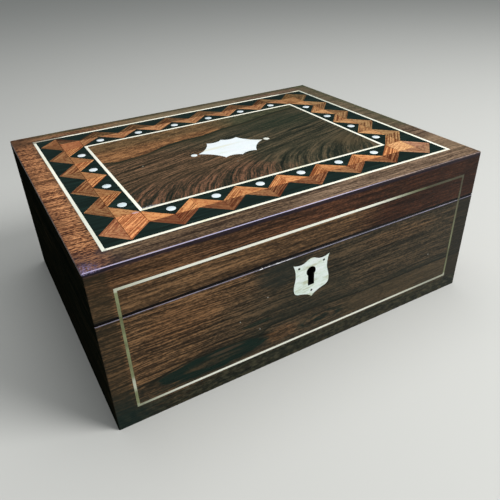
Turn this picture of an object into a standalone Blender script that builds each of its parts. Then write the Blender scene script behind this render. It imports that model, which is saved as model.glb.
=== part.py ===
"""Rosewood work box with a hinged lid, inlaid with white metal, ebony and pearl.

The origin is at the centre of the underside. +X runs along the front from left
to right, the front face looks along -Y, and +Z is up. All sizes are in metres.
"""

import math

import bmesh
import bpy
from mathutils import Matrix, Vector
from mathutils.geometry import interpolate_bezier

# Carcass
WIDTH = 0.300
DEPTH = 0.233
HEIGHT = 0.121
BASE_HEIGHT = 0.0858
WALL = 0.0095
BOTTOM_THICKNESS = 0.006
TOP_THICKNESS = 0.008
VENEER = 0.0014
ARRIS_RADIUS = 0.0010
ARRIS_SEGMENTS = 2

# Clearances
PIECE_GAP = 0.0003
SEAM_GAP = 0.0003

# Strings: the white metal lines let into the lid and the front
STRING_WIDTH = 0.0022
STRING_DEPTH = 0.0012
OUTER_STRING_INSET = 0.0157
INNER_STRING_INSET = 0.0499
FRONT_STRING_WIDTH = 0.0020
FRONT_STRING_SIDE_INSET = 0.0143
FRONT_STRING_TOP_INSET = 0.0150
FRONT_STRING_BOTTOM_INSET = 0.0133

# Marquetry band between the two strings of the lid
FRONT_TEETH = 6
SIDE_TEETH = 4
EBONY_LINE = 0.0010
DOT_RADIUS = 0.0031
DOT_SEAT = 0.0069
DOT_SEGMENTS = 20
DOT_SLIP = {"front": -0.0005, "right": -0.0004, "back": 0.0013, "left": 0.0020}
DOT_STRAY = {"pearl_dot_front_1": (0.0015, 0.0004), "pearl_dot_right_1": (0.0011, -0.0006)}

# Pearl cartouche in the middle of the lid
CARTOUCHE_LENGTH = 0.0574
CARTOUCHE_BREADTH = 0.0376
CARTOUCHE_SHOULDER_SPREAD = 0.0268
CARTOUCHE_SHOULDER_BREADTH = 0.0346
CARTOUCHE_SCALLOP = 0.0024
CARTOUCHE_OFFSET_X = -0.0010
CARTOUCHE_OFFSET_Y = -0.0019
SCALLOP_SEGMENTS = 6
END_DOT_RADIUS = 0.0025
END_DOT_CLEARANCE = 0.0012

# Pearl escutcheon on the front, with its keyhole and pins
ESCUTCHEON_OFFSET_X = -0.0036
ESCUTCHEON_DROP = 0.0061
ESCUTCHEON_WIDTH = 0.0292
ESCUTCHEON_HEIGHT = 0.0321
ESCUTCHEON_LEAN = math.radians(1.5)
ESCUTCHEON_THICKNESS = 0.0012
KEYHOLE_OFFSET_X = -0.0004
KEYHOLE_HEAD_DROP = 0.0106
KEYHOLE_HEAD_RADIUS = 0.0036
KEYHOLE_SLOT_WIDTH = 0.0048
KEYHOLE_FOOT_DROP = 0.0218
KEYHOLE_SEGMENTS = 16
PIN_RADIUS = 0.0005
PIN_SEGMENTS = 10
PIN_LENGTH = 0.0026
UPPER_PIN_SPREAD = 0.0204
UPPER_PIN_DROP = 0.0052
LOWER_PIN_DROP = 0.0268

# Lock behind the keyhole, and its link plate in the lid
LOCK_WIDTH = 0.040
LOCK_HEIGHT = 0.034
LOCK_THICKNESS = 0.0062
LOCK_PLATE_LENGTH = 0.054
LOCK_PLATE_THICKNESS = 0.0015
LOCK_KEY_DEPTH = 0.0040
LINK_SPACING = 0.018
LINK_THICKNESS = 0.0018
LINK_BREADTH = 0.0034
LINK_LENGTH = 0.0070
LINK_CLEARANCE = 0.0006
LINK_EYE = 0.0016

# Butt hinges at the back
HINGE_SPACING = 0.170
HINGE_LENGTH = 0.038
HINGE_LEAF_REACH = 0.0082
HINGE_LEAF_THICKNESS = 0.0016
HINGE_BARREL_RADIUS = 0.0024
HINGE_PIN_RADIUS = 0.0010
HINGE_AXIS_OUT = 0.0008
KNUCKLE_COUNT = 5
HINGE_SEGMENTS = 20

# Places worked out from the sizes above
FRONT_Y = -DEPTH / 2
BACK_Y = DEPTH / 2
LID_BOTTOM = BASE_HEIGHT + SEAM_GAP
RAIL_TOP = HEIGHT - VENEER - PIECE_GAP
BAND_WIDTH = INNER_STRING_INSET - OUTER_STRING_INSET - STRING_WIDTH
BAND_MIDDLE = BAND_WIDTH / 2
FRONT_INNER_Y = FRONT_Y + WALL
HINGE_AXIS_Y = BACK_Y + HINGE_AXIS_OUT
HINGE_AXIS_Z = BASE_HEIGHT + SEAM_GAP / 2
CUTTER_RUN_OUT = 0.002
ON_PLANE = 1e-7
SHARP_ANGLE = math.radians(35)
FACING_FRONT = (math.pi / 2, 0.0, 0.0)

FINISHES = {
    "rosewood": {"color": (0.105, 0.042, 0.020, 1.0), "roughness": 0.28, "metallic": 0.0},
    "figured_rosewood": {"color": (0.075, 0.038, 0.020, 1.0), "roughness": 0.25, "metallic": 0.0},
    "carcass_wood": {"color": (0.190, 0.095, 0.045, 1.0), "roughness": 0.60, "metallic": 0.0},
    "ebony": {"color": (0.008, 0.010, 0.008, 1.0), "roughness": 0.25, "metallic": 0.0},
    "tulipwood": {"color": (0.420, 0.160, 0.055, 1.0), "roughness": 0.30, "metallic": 0.0},
    "white_metal": {"color": (0.720, 0.720, 0.640, 1.0), "roughness": 0.25, "metallic": 1.0},
    "pearl": {"color": (0.800, 0.830, 0.800, 1.0), "roughness": 0.20, "metallic": 0.0},
    "brass": {"color": (0.600, 0.430, 0.170, 1.0), "roughness": 0.35, "metallic": 1.0},
    "steel": {"color": (0.090, 0.085, 0.080, 1.0), "roughness": 0.45, "metallic": 1.0},
}


def make_materials():
    """One plain Principled material for each finish, by name."""
    materials = {}
    for name, values in FINISHES.items():
        material = bpy.data.materials.new(name)
        material.use_nodes = True
        shader = material.node_tree.nodes["Principled BSDF"]
        shader.inputs["Base Color"].default_value = values["color"]
        shader.inputs["Roughness"].default_value = values["roughness"]
        shader.inputs["Metallic"].default_value = values["metallic"]
        material.diffuse_color = values["color"]
        materials[name] = material
    return materials


# Outlines


def rectangle(low_x, low_y, high_x, high_y):
    """Corners of a rectangle, counter-clockwise."""
    corners = [(low_x, low_y), (high_x, low_y), (high_x, high_y), (low_x, high_y)]
    return [Vector(corner) for corner in corners]


def inset_rectangle(inset):
    """The lid's outline drawn in by an inset on every side."""
    half_x = WIDTH / 2 - inset
    half_y = DEPTH / 2 - inset
    return rectangle(-half_x, -half_y, half_x, half_y)


def circle(radius, segments, centre=(0.0, 0.0)):
    """Points of a circle, counter-clockwise."""
    points = []
    for index in range(segments):
        angle = 2 * math.pi * index / segments
        points.append(Vector((centre[0] + radius * math.cos(angle), centre[1] + radius * math.sin(angle))))
    return points


def grown(outline, distance):
    """A counter-clockwise outline moved outwards by a distance, with its corners kept sharp."""
    moved = []
    count = len(outline)
    for index, point in enumerate(outline):
        before = (point - outline[index - 1]).normalized()
        after = (outline[(index + 1) % count] - point).normalized()
        normal_before = Vector((before.y, -before.x))
        normal_after = Vector((after.y, -after.x))
        middle = (normal_before + normal_after).normalized()
        moved.append(point + middle * (distance / middle.dot(normal_before)))
    return moved


def hollow_arc(start, end, sagitta, segments):
    """Points after start up to end, on an arc that bows to the left of the way from start to end."""
    chord = end - start
    half = chord.length / 2
    radius = (half * half + sagitta * sagitta) / (2 * sagitta)
    left = Vector((-chord.y, chord.x)).normalized()
    centre = (start + end) / 2 + left * (sagitta - radius)
    sweep = 2 * math.asin(half / radius)
    spoke = start - centre
    points = []
    for index in range(1, segments + 1):
        angle = -sweep * index / segments
        points.append(centre + Matrix.Rotation(angle, 2) @ spoke)
    return points


def cartouche_outline():
    """Eight points joined by hollow scallops, counter-clockwise, about its own centre."""
    tip = CARTOUCHE_LENGTH / 2
    crest = CARTOUCHE_BREADTH / 2
    shoulder_x = CARTOUCHE_SHOULDER_SPREAD / 2
    shoulder_y = CARTOUCHE_SHOULDER_BREADTH / 2
    corners = [
        Vector((tip, 0.0)),
        Vector((shoulder_x, shoulder_y)),
        Vector((0.0, crest)),
        Vector((-shoulder_x, shoulder_y)),
        Vector((-tip, 0.0)),
        Vector((-shoulder_x, -shoulder_y)),
        Vector((0.0, -crest)),
        Vector((shoulder_x, -shoulder_y)),
    ]
    points = []
    for index, corner in enumerate(corners):
        following = corners[(index + 1) % len(corners)]
        points += hollow_arc(corner, following, CARTOUCHE_SCALLOP, SCALLOP_SEGMENTS)
    return points


def escutcheon_outline():
    """Shield with a peaked crown, hollow sides and two round lobes, crown at the origin, hanging down.

    Each curve of the right half is given by its two ends and its two handles, as
    shares of the half width and of the height. The whole shield leans a little.
    """
    half = ESCUTCHEON_WIDTH / 2
    height = ESCUTCHEON_HEIGHT
    crown = [(0.0, 0.0), (0.20, 0.0), (0.34, -0.088), (0.58, -0.088)]
    ear = [(0.58, -0.088), (0.79, -0.088), (0.90, -0.063), (1.01, -0.044)]
    flank = [(1.01, -0.044), (0.93, -0.12), (0.885, -0.23), (0.885, -0.33)]
    hip = [(0.885, -0.33), (0.885, -0.44), (1.0, -0.53), (1.0, -0.66)]
    lobe = [(1.0, -0.66), (1.0, -0.765), (0.92, -0.812), (0.74, -0.835)]
    foot = [(0.74, -0.835), (0.41, -0.872), (0.20, -0.903), (0.0, -1.0)]
    right_half = []
    for curve, segments in ((crown, 6), (ear, 4), (flank, 5), (hip, 6), (lobe, 6), (foot, 6)):
        knots = [Vector((across * half, down * height)) for across, down in curve]
        right_half += interpolate_bezier(*knots, segments + 1)[:-1]
    right_half.append(Vector((0.0, -height)))
    right_half = [Vector((point.x, point.y)) for point in right_half]
    left_half = [Vector((-point.x, point.y)) for point in right_half[1:-1]]
    return leaned(list(reversed(right_half)) + left_half)


def leaned(points):
    """Points of the upright escutcheon, turned about its crown to the way it leans."""
    turn = Matrix.Rotation(ESCUTCHEON_LEAN, 2)
    return [turn @ point for point in points]


def keyhole_outline():
    """Round head with a straight slot below it, measured from the escutcheon's crown."""
    half_slot = KEYHOLE_SLOT_WIDTH / 2
    lowest = math.acos(half_slot / KEYHOLE_HEAD_RADIUS)
    points = [Vector((-half_slot, -KEYHOLE_FOOT_DROP)), Vector((half_slot, -KEYHOLE_FOOT_DROP))]
    for index in range(KEYHOLE_SEGMENTS + 1):
        angle = -lowest + (math.pi + 2 * lowest) * index / KEYHOLE_SEGMENTS
        x = KEYHOLE_HEAD_RADIUS * math.cos(angle)
        y = KEYHOLE_HEAD_RADIUS * math.sin(angle) - KEYHOLE_HEAD_DROP
        points.append(Vector((x, y)))
    return leaned([point + Vector((KEYHOLE_OFFSET_X, 0.0)) for point in points])


def front_string_base_outline():
    """The part of the front string below the seam: a U, open upwards, in X and Z."""
    outer_x = WIDTH / 2 - FRONT_STRING_SIDE_INSET
    inner_x = outer_x - FRONT_STRING_WIDTH
    outer_z = FRONT_STRING_BOTTOM_INSET
    inner_z = outer_z + FRONT_STRING_WIDTH
    return [
        Vector((-outer_x, outer_z)),
        Vector((outer_x, outer_z)),
        Vector((outer_x, BASE_HEIGHT)),
        Vector((inner_x, BASE_HEIGHT)),
        Vector((inner_x, inner_z)),
        Vector((-inner_x, inner_z)),
        Vector((-inner_x, BASE_HEIGHT)),
        Vector((-outer_x, BASE_HEIGHT)),
    ]


def front_string_lid_outline():
    """The part of the front string above the seam: a U, open downwards, in X and Z."""
    outer_x = WIDTH / 2 - FRONT_STRING_SIDE_INSET
    inner_x = outer_x - FRONT_STRING_WIDTH
    outer_z = HEIGHT - FRONT_STRING_TOP_INSET
    inner_z = outer_z - FRONT_STRING_WIDTH
    return [
        Vector((-outer_x, outer_z)),
        Vector((-outer_x, LID_BOTTOM)),
        Vector((-inner_x, LID_BOTTOM)),
        Vector((-inner_x, inner_z)),
        Vector((inner_x, inner_z)),
        Vector((inner_x, LID_BOTTOM)),
        Vector((outer_x, LID_BOTTOM)),
        Vector((outer_x, outer_z)),
    ]


def lock_outline():
    """The lock's plate and the case below it, seen from the front, in X and Z."""
    plate = LOCK_PLATE_LENGTH / 2
    case = LOCK_WIDTH / 2
    under_plate = BASE_HEIGHT - LOCK_PLATE_THICKNESS
    bottom = BASE_HEIGHT - LOCK_HEIGHT
    outline = [
        (-case, bottom),
        (case, bottom),
        (case, under_plate),
        (plate, under_plate),
        (plate, BASE_HEIGHT),
        (-plate, BASE_HEIGHT),
        (-plate, under_plate),
        (-case, under_plate),
    ]
    return [Vector((ESCUTCHEON_OFFSET_X + x, z)) for x, z in outline]


# The marquetry band, side by side round the inner string


def band_sides():
    """The four sides: name, first corner on the inner string, way along, way out, length and teeth."""
    half_x = WIDTH / 2 - INNER_STRING_INSET
    half_y = DEPTH / 2 - INNER_STRING_INSET
    return [
        ("front", Vector((-half_x, -half_y)), Vector((1, 0)), Vector((0, -1)), 2 * half_x, FRONT_TEETH),
        ("right", Vector((half_x, -half_y)), Vector((0, 1)), Vector((1, 0)), 2 * half_y, SIDE_TEETH),
        ("back", Vector((half_x, half_y)), Vector((-1, 0)), Vector((0, 1)), 2 * half_x, FRONT_TEETH),
        ("left", Vector((-half_x, half_y)), Vector((0, -1)), Vector((-1, 0)), 2 * half_y, SIDE_TEETH),
    ]


def zigzag_outer_outline():
    """Points towards the outer string, valleys on the band's middle line, cut corners."""
    points = []
    for _, corner, along, out, length, teeth in band_sides():
        pitch = length / teeth
        point_out = BAND_WIDTH - EBONY_LINE
        points.append(corner - along * BAND_MIDDLE + out * point_out)
        for index in range(teeth):
            points.append(corner + along * (pitch * index) + out * BAND_MIDDLE)
            points.append(corner + along * (pitch * (index + 0.5)) + out * point_out)
        points.append(corner + along * length + out * BAND_MIDDLE)
        points.append(corner + along * (length + BAND_MIDDLE) + out * point_out)
    return points


def zigzag_inner_outline():
    """Points towards the inner string, valleys on the band's middle line."""
    points = []
    for _, corner, along, out, length, teeth in band_sides():
        pitch = length / teeth
        points.append(corner - along * EBONY_LINE + out * EBONY_LINE)
        for index in range(teeth):
            points.append(corner + along * (pitch * (index + 0.5)) + out * BAND_MIDDLE)
            if index < teeth - 1:
                points.append(corner + along * (pitch * (index + 1)) + out * EBONY_LINE)
    return points


def pearl_dot_places():
    """Name and centre of the pearl dot in each inner ebony triangle."""
    places = []
    for name, corner, along, out, length, teeth in band_sides():
        pitch = length / teeth
        for index in range(teeth):
            dot = f"pearl_dot_{name}_{index + 1}"
            stray_along, stray_out = DOT_STRAY.get(dot, (0.0, 0.0))
            reach = pitch * (index + 0.5) + DOT_SLIP[name] + stray_along
            places.append((dot, corner + along * reach + out * (DOT_SEAT + stray_out)))
    return places


# Solids


def plate_mesh(outlines, low, high):
    """A flat plate from its outer outline and the outlines of its holes, from low to high in Z."""
    bm = bmesh.new()
    edges = []
    for outline in outlines:
        verts = [bm.verts.new((point.x, point.y, low)) for point in outline]
        for index, vert in enumerate(verts):
            edges.append(bm.edges.new((vert, verts[(index + 1) % len(verts)])))
    bmesh.ops.triangle_fill(bm, use_beauty=True, use_dissolve=False, edges=edges)
    lifted = bmesh.ops.extrude_face_region(bm, geom=bm.faces[:])
    moved = [item for item in lifted["geom"] if isinstance(item, bmesh.types.BMVert)]
    bmesh.ops.translate(bm, verts=moved, vec=(0.0, 0.0, high - low))
    bmesh.ops.recalc_face_normals(bm, faces=bm.faces[:])
    return bm


def box_mesh(low, high):
    """A plain block between two corners."""
    bm = bmesh.new()
    size = Vector(high) - Vector(low)
    middle = (Vector(high) + Vector(low)) / 2
    bmesh.ops.create_cube(bm, size=1.0, matrix=Matrix.Translation(middle) @ Matrix.Diagonal((*size, 1.0)))
    return bm


def hinge_rod(radius, low_x, high_x):
    """A round rod on the hinge axis, from low_x to high_x."""
    bm = bmesh.new()
    middle = Vector(((low_x + high_x) / 2, HINGE_AXIS_Y, HINGE_AXIS_Z))
    matrix = Matrix.Translation(middle) @ Matrix.Rotation(math.pi / 2, 4, "Y")
    bmesh.ops.create_cone(
        bm, cap_ends=True, segments=HINGE_SEGMENTS, radius1=radius, radius2=radius,
        depth=high_x - low_x, matrix=matrix,
    )
    return bm


def frame_mesh(border, low, high):
    """A frame round the box, as wide as its border, with its upright and top outer arrises rounded."""
    bm = bmesh.new()
    verts = [bm.verts.new((point.x, point.y, low)) for point in inset_rectangle(0.0)]
    face = bm.faces.new(verts)
    bm.normal_update()
    bmesh.ops.inset_individual(bm, faces=[face], thickness=border, use_even_offset=True)
    bmesh.ops.delete(bm, geom=[face], context="FACES_ONLY")
    lifted = bmesh.ops.extrude_face_region(bm, geom=bm.faces[:])
    moved = [item for item in lifted["geom"] if isinstance(item, bmesh.types.BMVert)]
    bmesh.ops.translate(bm, verts=moved, vec=(0.0, 0.0, high - low))
    bmesh.ops.recalc_face_normals(bm, faces=bm.faces[:])
    middle_z = (low + high) / 2
    arrises = []
    for edge in bm.edges:
        on_rim = all(abs(vert.co.x) > WIDTH / 2 - border / 2 and abs(vert.co.y) > DEPTH / 2 - border / 2
                     for vert in edge.verts)
        reaches_top = any(vert.co.z > middle_z for vert in edge.verts)
        if on_rim and reaches_top:
            arrises.append(edge)
    bmesh.ops.bevel(
        bm, geom=arrises, offset=ARRIS_RADIUS, offset_type="OFFSET", segments=ARRIS_SEGMENTS,
        profile=0.5, affect="EDGES", clamp_overlap=True, material=-1,
    )
    return bm


def keep_behind(bm, point, outward):
    """Cuts away all of a mesh that lies beyond a plane."""
    geometry = bm.verts[:] + bm.edges[:] + bm.faces[:]
    bmesh.ops.bisect_plane(
        bm, geom=geometry, dist=ON_PLANE, plane_co=point, plane_no=outward, clear_outer=True,
    )


def mitred_board(frame, side):
    """One side of a frame, cut out at its two mitres with half a gap left at each."""
    bm = frame.copy()
    half_x = WIDTH / 2
    half_y = DEPTH / 2
    away = {"front": Vector((0, 1, 0)), "back": Vector((0, -1, 0)),
            "left": Vector((1, 0, 0)), "right": Vector((-1, 0, 0))}[side]
    keep_behind(bm, Vector((0, 0, 0)), away)
    back_off = PIECE_GAP / 2
    for turn in (-1, 1):
        sideways = Vector((-away.y, away.x, 0)) * turn
        outside_corner = Vector((half_x * (sideways - away).x, half_y * (sideways - away).y, 0))
        outward = (sideways + away).normalized()
        keep_behind(bm, outside_corner - outward * back_off, outward)
    open_edges = [edge for edge in bm.edges if edge.is_boundary]
    bmesh.ops.holes_fill(bm, edges=open_edges, sides=0)
    bmesh.ops.recalc_face_normals(bm, faces=bm.faces[:])
    return bm


# Objects


class Workshop:
    """Puts the pieces into the scene with their finishes, and parents what moves to the lid's pivot."""

    def __init__(self):
        self.materials = make_materials()
        self.lid_pivot = bpy.data.objects.new("lid_pivot", None)
        self.lid_pivot.location = (0.0, HINGE_AXIS_Y, HINGE_AXIS_Z)
        bpy.context.scene.collection.objects.link(self.lid_pivot)

    def add(self, name, mesh, finish, place=(0, 0, 0), turn=(0, 0, 0), on_lid=False, smooth=False):
        """Adds a piece; place is its origin in the closed box."""
        if isinstance(mesh, bmesh.types.BMesh):
            data = bpy.data.meshes.new(name)
            mesh.to_mesh(data)
            mesh.free()
            if smooth:
                data.shade_smooth()
                data.set_sharp_from_angle(angle=SHARP_ANGLE)
        else:
            data = mesh
        piece = bpy.data.objects.new(name, data)
        piece.location = place
        piece.rotation_euler = turn
        bpy.context.scene.collection.objects.link(piece)
        if finish and not data.materials:
            data.materials.append(self.materials[finish])
        if on_lid:
            piece.parent = self.lid_pivot
            piece.location = Vector(place) - self.lid_pivot.location
        return piece

    def cutter(self, name, mesh, place=(0, 0, 0), turn=(0, 0, 0), on_lid=False):
        """Adds a tool body that only shapes other pieces."""
        tool = self.add(name, mesh, None, place, turn, on_lid)
        tool.hide_render = True
        tool.display_type = "WIRE"
        return tool

    def combine(self, piece, tool, operation="DIFFERENCE"):
        """Cuts a tool out of a piece, or joins it to the piece."""
        modifier = piece.modifiers.new(tool.name, "BOOLEAN")
        modifier.operation = operation
        modifier.solver = "EXACT"
        modifier.object = tool


def make_base_boards(shop):
    """Four mitred walls and the bottom board between them."""
    frame = frame_mesh(WALL, 0.0, BASE_HEIGHT)
    boards = {}
    for side in ("front", "back", "left", "right"):
        boards[side] = shop.add(f"base_{side}_board", mitred_board(frame, side), "rosewood")
    frame.free()
    inside = inset_rectangle(WALL + PIECE_GAP)
    shop.add("bottom_board", plate_mesh([inside], 0.0, BOTTOM_THICKNESS), "carcass_wood")
    return boards


def make_lid_boards(shop):
    """Four mitred rails and the top board between them, flush under the veneers."""
    frame = frame_mesh(WALL, LID_BOTTOM, RAIL_TOP)
    rails = {}
    for side in ("front", "back", "left", "right"):
        rails[side] = shop.add(f"lid_{side}_rail", mitred_board(frame, side), "rosewood", on_lid=True)
    frame.free()
    top_board = plate_mesh([inset_rectangle(WALL + PIECE_GAP)], RAIL_TOP - TOP_THICKNESS, RAIL_TOP)
    shop.add("lid_top_board", top_board, "carcass_wood", on_lid=True)
    return rails


def make_front_string(shop, front_board, front_rail):
    """The string round the front face, let into the base and the lid and parted at the seam."""
    face = (0.0, FRONT_Y, 0.0)
    groove_floor = -STRING_DEPTH - PIECE_GAP
    for name, outline, board, on_lid in (
        ("base_front_string", front_string_base_outline(), front_board, False),
        ("lid_front_string", front_string_lid_outline(), front_rail, True),
    ):
        string = plate_mesh([outline], -STRING_DEPTH, 0.0)
        shop.add(name, string, "white_metal", face, FACING_FRONT, on_lid)
        groove = plate_mesh([grown(outline, PIECE_GAP)], groove_floor, CUTTER_RUN_OUT)
        tool = shop.cutter(f"{name}_groove", groove, face, FACING_FRONT, on_lid)
        shop.combine(board, tool)


def make_escutcheon(shop, front_board):
    """The pearl escutcheon in its recess, with its keyhole and three pins."""
    crown = (ESCUTCHEON_OFFSET_X, FRONT_Y, BASE_HEIGHT - ESCUTCHEON_DROP)
    upright_places = [
        Vector((-UPPER_PIN_SPREAD / 2, -UPPER_PIN_DROP)),
        Vector((UPPER_PIN_SPREAD / 2, -UPPER_PIN_DROP)),
        Vector((0.0, -LOWER_PIN_DROP)),
    ]
    pin_places = dict(zip(("left", "right", "lower"), leaned(upright_places)))
    outline = escutcheon_outline()
    pin_hole_radius = PIN_RADIUS + PIECE_GAP
    holes = [keyhole_outline()]
    for centre in pin_places.values():
        holes.append(circle(pin_hole_radius, PIN_SEGMENTS, centre))
    shield = plate_mesh([outline] + holes, -ESCUTCHEON_THICKNESS, 0.0)
    shop.add("escutcheon", shield, "pearl", crown, FACING_FRONT)

    recess = plate_mesh([grown(outline, PIECE_GAP)], -ESCUTCHEON_THICKNESS - PIECE_GAP, CUTTER_RUN_OUT)
    shop.combine(front_board, shop.cutter("escutcheon_recess", recess, crown, FACING_FRONT))
    keyway = plate_mesh([keyhole_outline()], -WALL - CUTTER_RUN_OUT, CUTTER_RUN_OUT)
    shop.combine(front_board, shop.cutter("keyway", keyway, crown, FACING_FRONT))

    for name, centre in pin_places.items():
        pin = plate_mesh([circle(PIN_RADIUS, PIN_SEGMENTS)], -PIN_LENGTH, 0.0)
        place = (crown[0] + centre.x, FRONT_Y, crown[2] + centre.y)
        shop.add(f"escutcheon_pin_{name}", pin, "steel", place, FACING_FRONT, smooth=True)
        pin_hole = circle(pin_hole_radius, PIN_SEGMENTS)
        hole = plate_mesh([pin_hole], -PIN_LENGTH - PIECE_GAP, CUTTER_RUN_OUT)
        shop.combine(front_board, shop.cutter(f"{name}_pin_hole", hole, place, FACING_FRONT))


def link_centres():
    """X of the two links, left and right of the keyhole."""
    return [ESCUTCHEON_OFFSET_X - LINK_SPACING / 2, ESCUTCHEON_OFFSET_X + LINK_SPACING / 2]


def make_lock(shop, front_board):
    """The lock, let into the front board from the inside, with its key way and two link slots."""
    inner_face = (0.0, FRONT_INNER_Y, 0.0)
    outline = lock_outline()
    lock = shop.add("box_lock", plate_mesh([outline], 0.0, LOCK_THICKNESS), "brass", inner_face, FACING_FRONT)
    mortise = plate_mesh([grown(outline, PIECE_GAP)], -CUTTER_RUN_OUT, LOCK_THICKNESS + PIECE_GAP)
    shop.combine(front_board, shop.cutter("lock_mortise", mortise, inner_face, FACING_FRONT))

    crown = (ESCUTCHEON_OFFSET_X, FRONT_INNER_Y, BASE_HEIGHT - ESCUTCHEON_DROP)
    key_floor = LOCK_THICKNESS - LOCK_KEY_DEPTH
    key_room = plate_mesh([keyhole_outline()], key_floor, LOCK_THICKNESS + CUTTER_RUN_OUT)
    shop.combine(lock, shop.cutter("lock_key_room", key_room, crown, FACING_FRONT))

    middle_y = FRONT_INNER_Y - LOCK_THICKNESS / 2
    half_x = LINK_THICKNESS / 2 + LINK_CLEARANCE
    half_y = LINK_BREADTH / 2 + LINK_CLEARANCE
    slot_floor = BASE_HEIGHT - LINK_LENGTH - 2 * LINK_CLEARANCE
    for number, centre_x in enumerate(link_centres(), start=1):
        low = (centre_x - half_x, middle_y - half_y, slot_floor)
        high = (centre_x + half_x, middle_y + half_y, BASE_HEIGHT + CUTTER_RUN_OUT)
        shop.combine(lock, shop.cutter(f"link_slot_{number}", box_mesh(low, high)))


def make_link_plate(shop, front_rail):
    """The plate in the lid with the two links that drop into the lock."""
    half = LOCK_PLATE_LENGTH / 2
    plate_top = LID_BOTTOM + LOCK_PLATE_THICKNESS
    low = Vector((ESCUTCHEON_OFFSET_X - half, FRONT_INNER_Y - LOCK_THICKNESS, LID_BOTTOM))
    high = Vector((ESCUTCHEON_OFFSET_X + half, FRONT_INNER_Y, plate_top))
    plate = shop.add("lock_link_plate", box_mesh(low, high), "brass", on_lid=True)
    margin = Vector((PIECE_GAP, PIECE_GAP, PIECE_GAP))
    run_out = Vector((0.0, CUTTER_RUN_OUT, 0.0))
    recess = box_mesh(low - margin, high + margin + run_out)
    shop.combine(front_rail, shop.cutter("link_plate_recess", recess, on_lid=True))

    middle_y = FRONT_INNER_Y - LOCK_THICKNESS / 2
    tip = LID_BOTTOM - LINK_LENGTH
    eye_z = tip + 2 * LINK_EYE
    for number, centre_x in enumerate(link_centres(), start=1):
        link_low = (centre_x - LINK_THICKNESS / 2, middle_y - LINK_BREADTH / 2, tip)
        link_high = (centre_x + LINK_THICKNESS / 2, middle_y + LINK_BREADTH / 2,
                     plate_top - LOCK_PLATE_THICKNESS / 2)
        link = shop.cutter(f"link_{number}", box_mesh(link_low, link_high), on_lid=True)
        shop.combine(plate, link, "UNION")
        eye_low = (centre_x - LINK_THICKNESS, middle_y - LINK_EYE / 2, eye_z - LINK_EYE / 2)
        eye_high = (centre_x + LINK_THICKNESS, middle_y + LINK_EYE / 2, eye_z + LINK_EYE / 2)
        shop.combine(plate, shop.cutter(f"link_eye_{number}", box_mesh(eye_low, eye_high), on_lid=True))


def knuckle_spans(centre_x):
    """X span of each knuckle of a hinge, left to right."""
    pitch = HINGE_LENGTH / KNUCKLE_COUNT
    start = centre_x - HINGE_LENGTH / 2
    spans = []
    for index in range(KNUCKLE_COUNT):
        spans.append((start + index * pitch + PIECE_GAP / 2, start + (index + 1) * pitch - PIECE_GAP / 2))
    return spans


def leaf_outline(centre_x, spans, own):
    """A leaf seen from above: a plate with a finger that reaches under each of its own knuckles."""
    front = BACK_Y - HINGE_LEAF_REACH
    shoulder = HINGE_AXIS_Y - HINGE_BARREL_RADIUS - PIECE_GAP
    points = [Vector((centre_x - HINGE_LENGTH / 2, front)), Vector((centre_x + HINGE_LENGTH / 2, front))]
    points.append(Vector((centre_x + HINGE_LENGTH / 2, shoulder)))
    for index in reversed(own):
        low_x, high_x = spans[index]
        inner_low = low_x + PIECE_GAP / 2
        inner_high = high_x - PIECE_GAP / 2
        points.append(Vector((inner_high, shoulder)))
        points.append(Vector((inner_high, HINGE_AXIS_Y)))
        points.append(Vector((inner_low, HINGE_AXIS_Y)))
        points.append(Vector((inner_low, shoulder)))
    points.append(Vector((centre_x - HINGE_LENGTH / 2, shoulder)))
    return points


def make_leaf(shop, name, centre_x, own, low, on_lid):
    """A hinge leaf with its knuckles on it, bored for the pin."""
    spans = knuckle_spans(centre_x)
    outline = leaf_outline(centre_x, spans, own)
    leaf = shop.add(name, plate_mesh([outline], low, low + HINGE_LEAF_THICKNESS), "brass", on_lid=on_lid)
    for index in own:
        low_x, high_x = spans[index]
        knuckle = hinge_rod(HINGE_BARREL_RADIUS, low_x, high_x)
        shop.combine(leaf, shop.cutter(f"{name}_knuckle_{index + 1}", knuckle, on_lid=on_lid), "UNION")
    reach = HINGE_LENGTH / 2 + CUTTER_RUN_OUT
    bore = hinge_rod(HINGE_PIN_RADIUS + PIECE_GAP, centre_x - reach, centre_x + reach)
    shop.combine(leaf, shop.cutter(f"{name}_bore", bore, on_lid=on_lid))


def cut_hinge_seat(shop, board, name, centre_x, low, high, on_lid):
    """The shallow housing for a leaf in a board's edge, and the round room behind it for the barrel."""
    half = HINGE_LENGTH / 2 + PIECE_GAP
    seat_low = (centre_x - half, BACK_Y - HINGE_LEAF_REACH - PIECE_GAP, low)
    seat_high = (centre_x + half, BACK_Y + CUTTER_RUN_OUT, high)
    shop.combine(board, shop.cutter(f"{name}_seat", box_mesh(seat_low, seat_high), on_lid=on_lid))
    room = hinge_rod(HINGE_BARREL_RADIUS + PIECE_GAP, centre_x - half, centre_x + half)
    shop.combine(board, shop.cutter(f"{name}_barrel_room", room, on_lid=on_lid))


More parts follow.
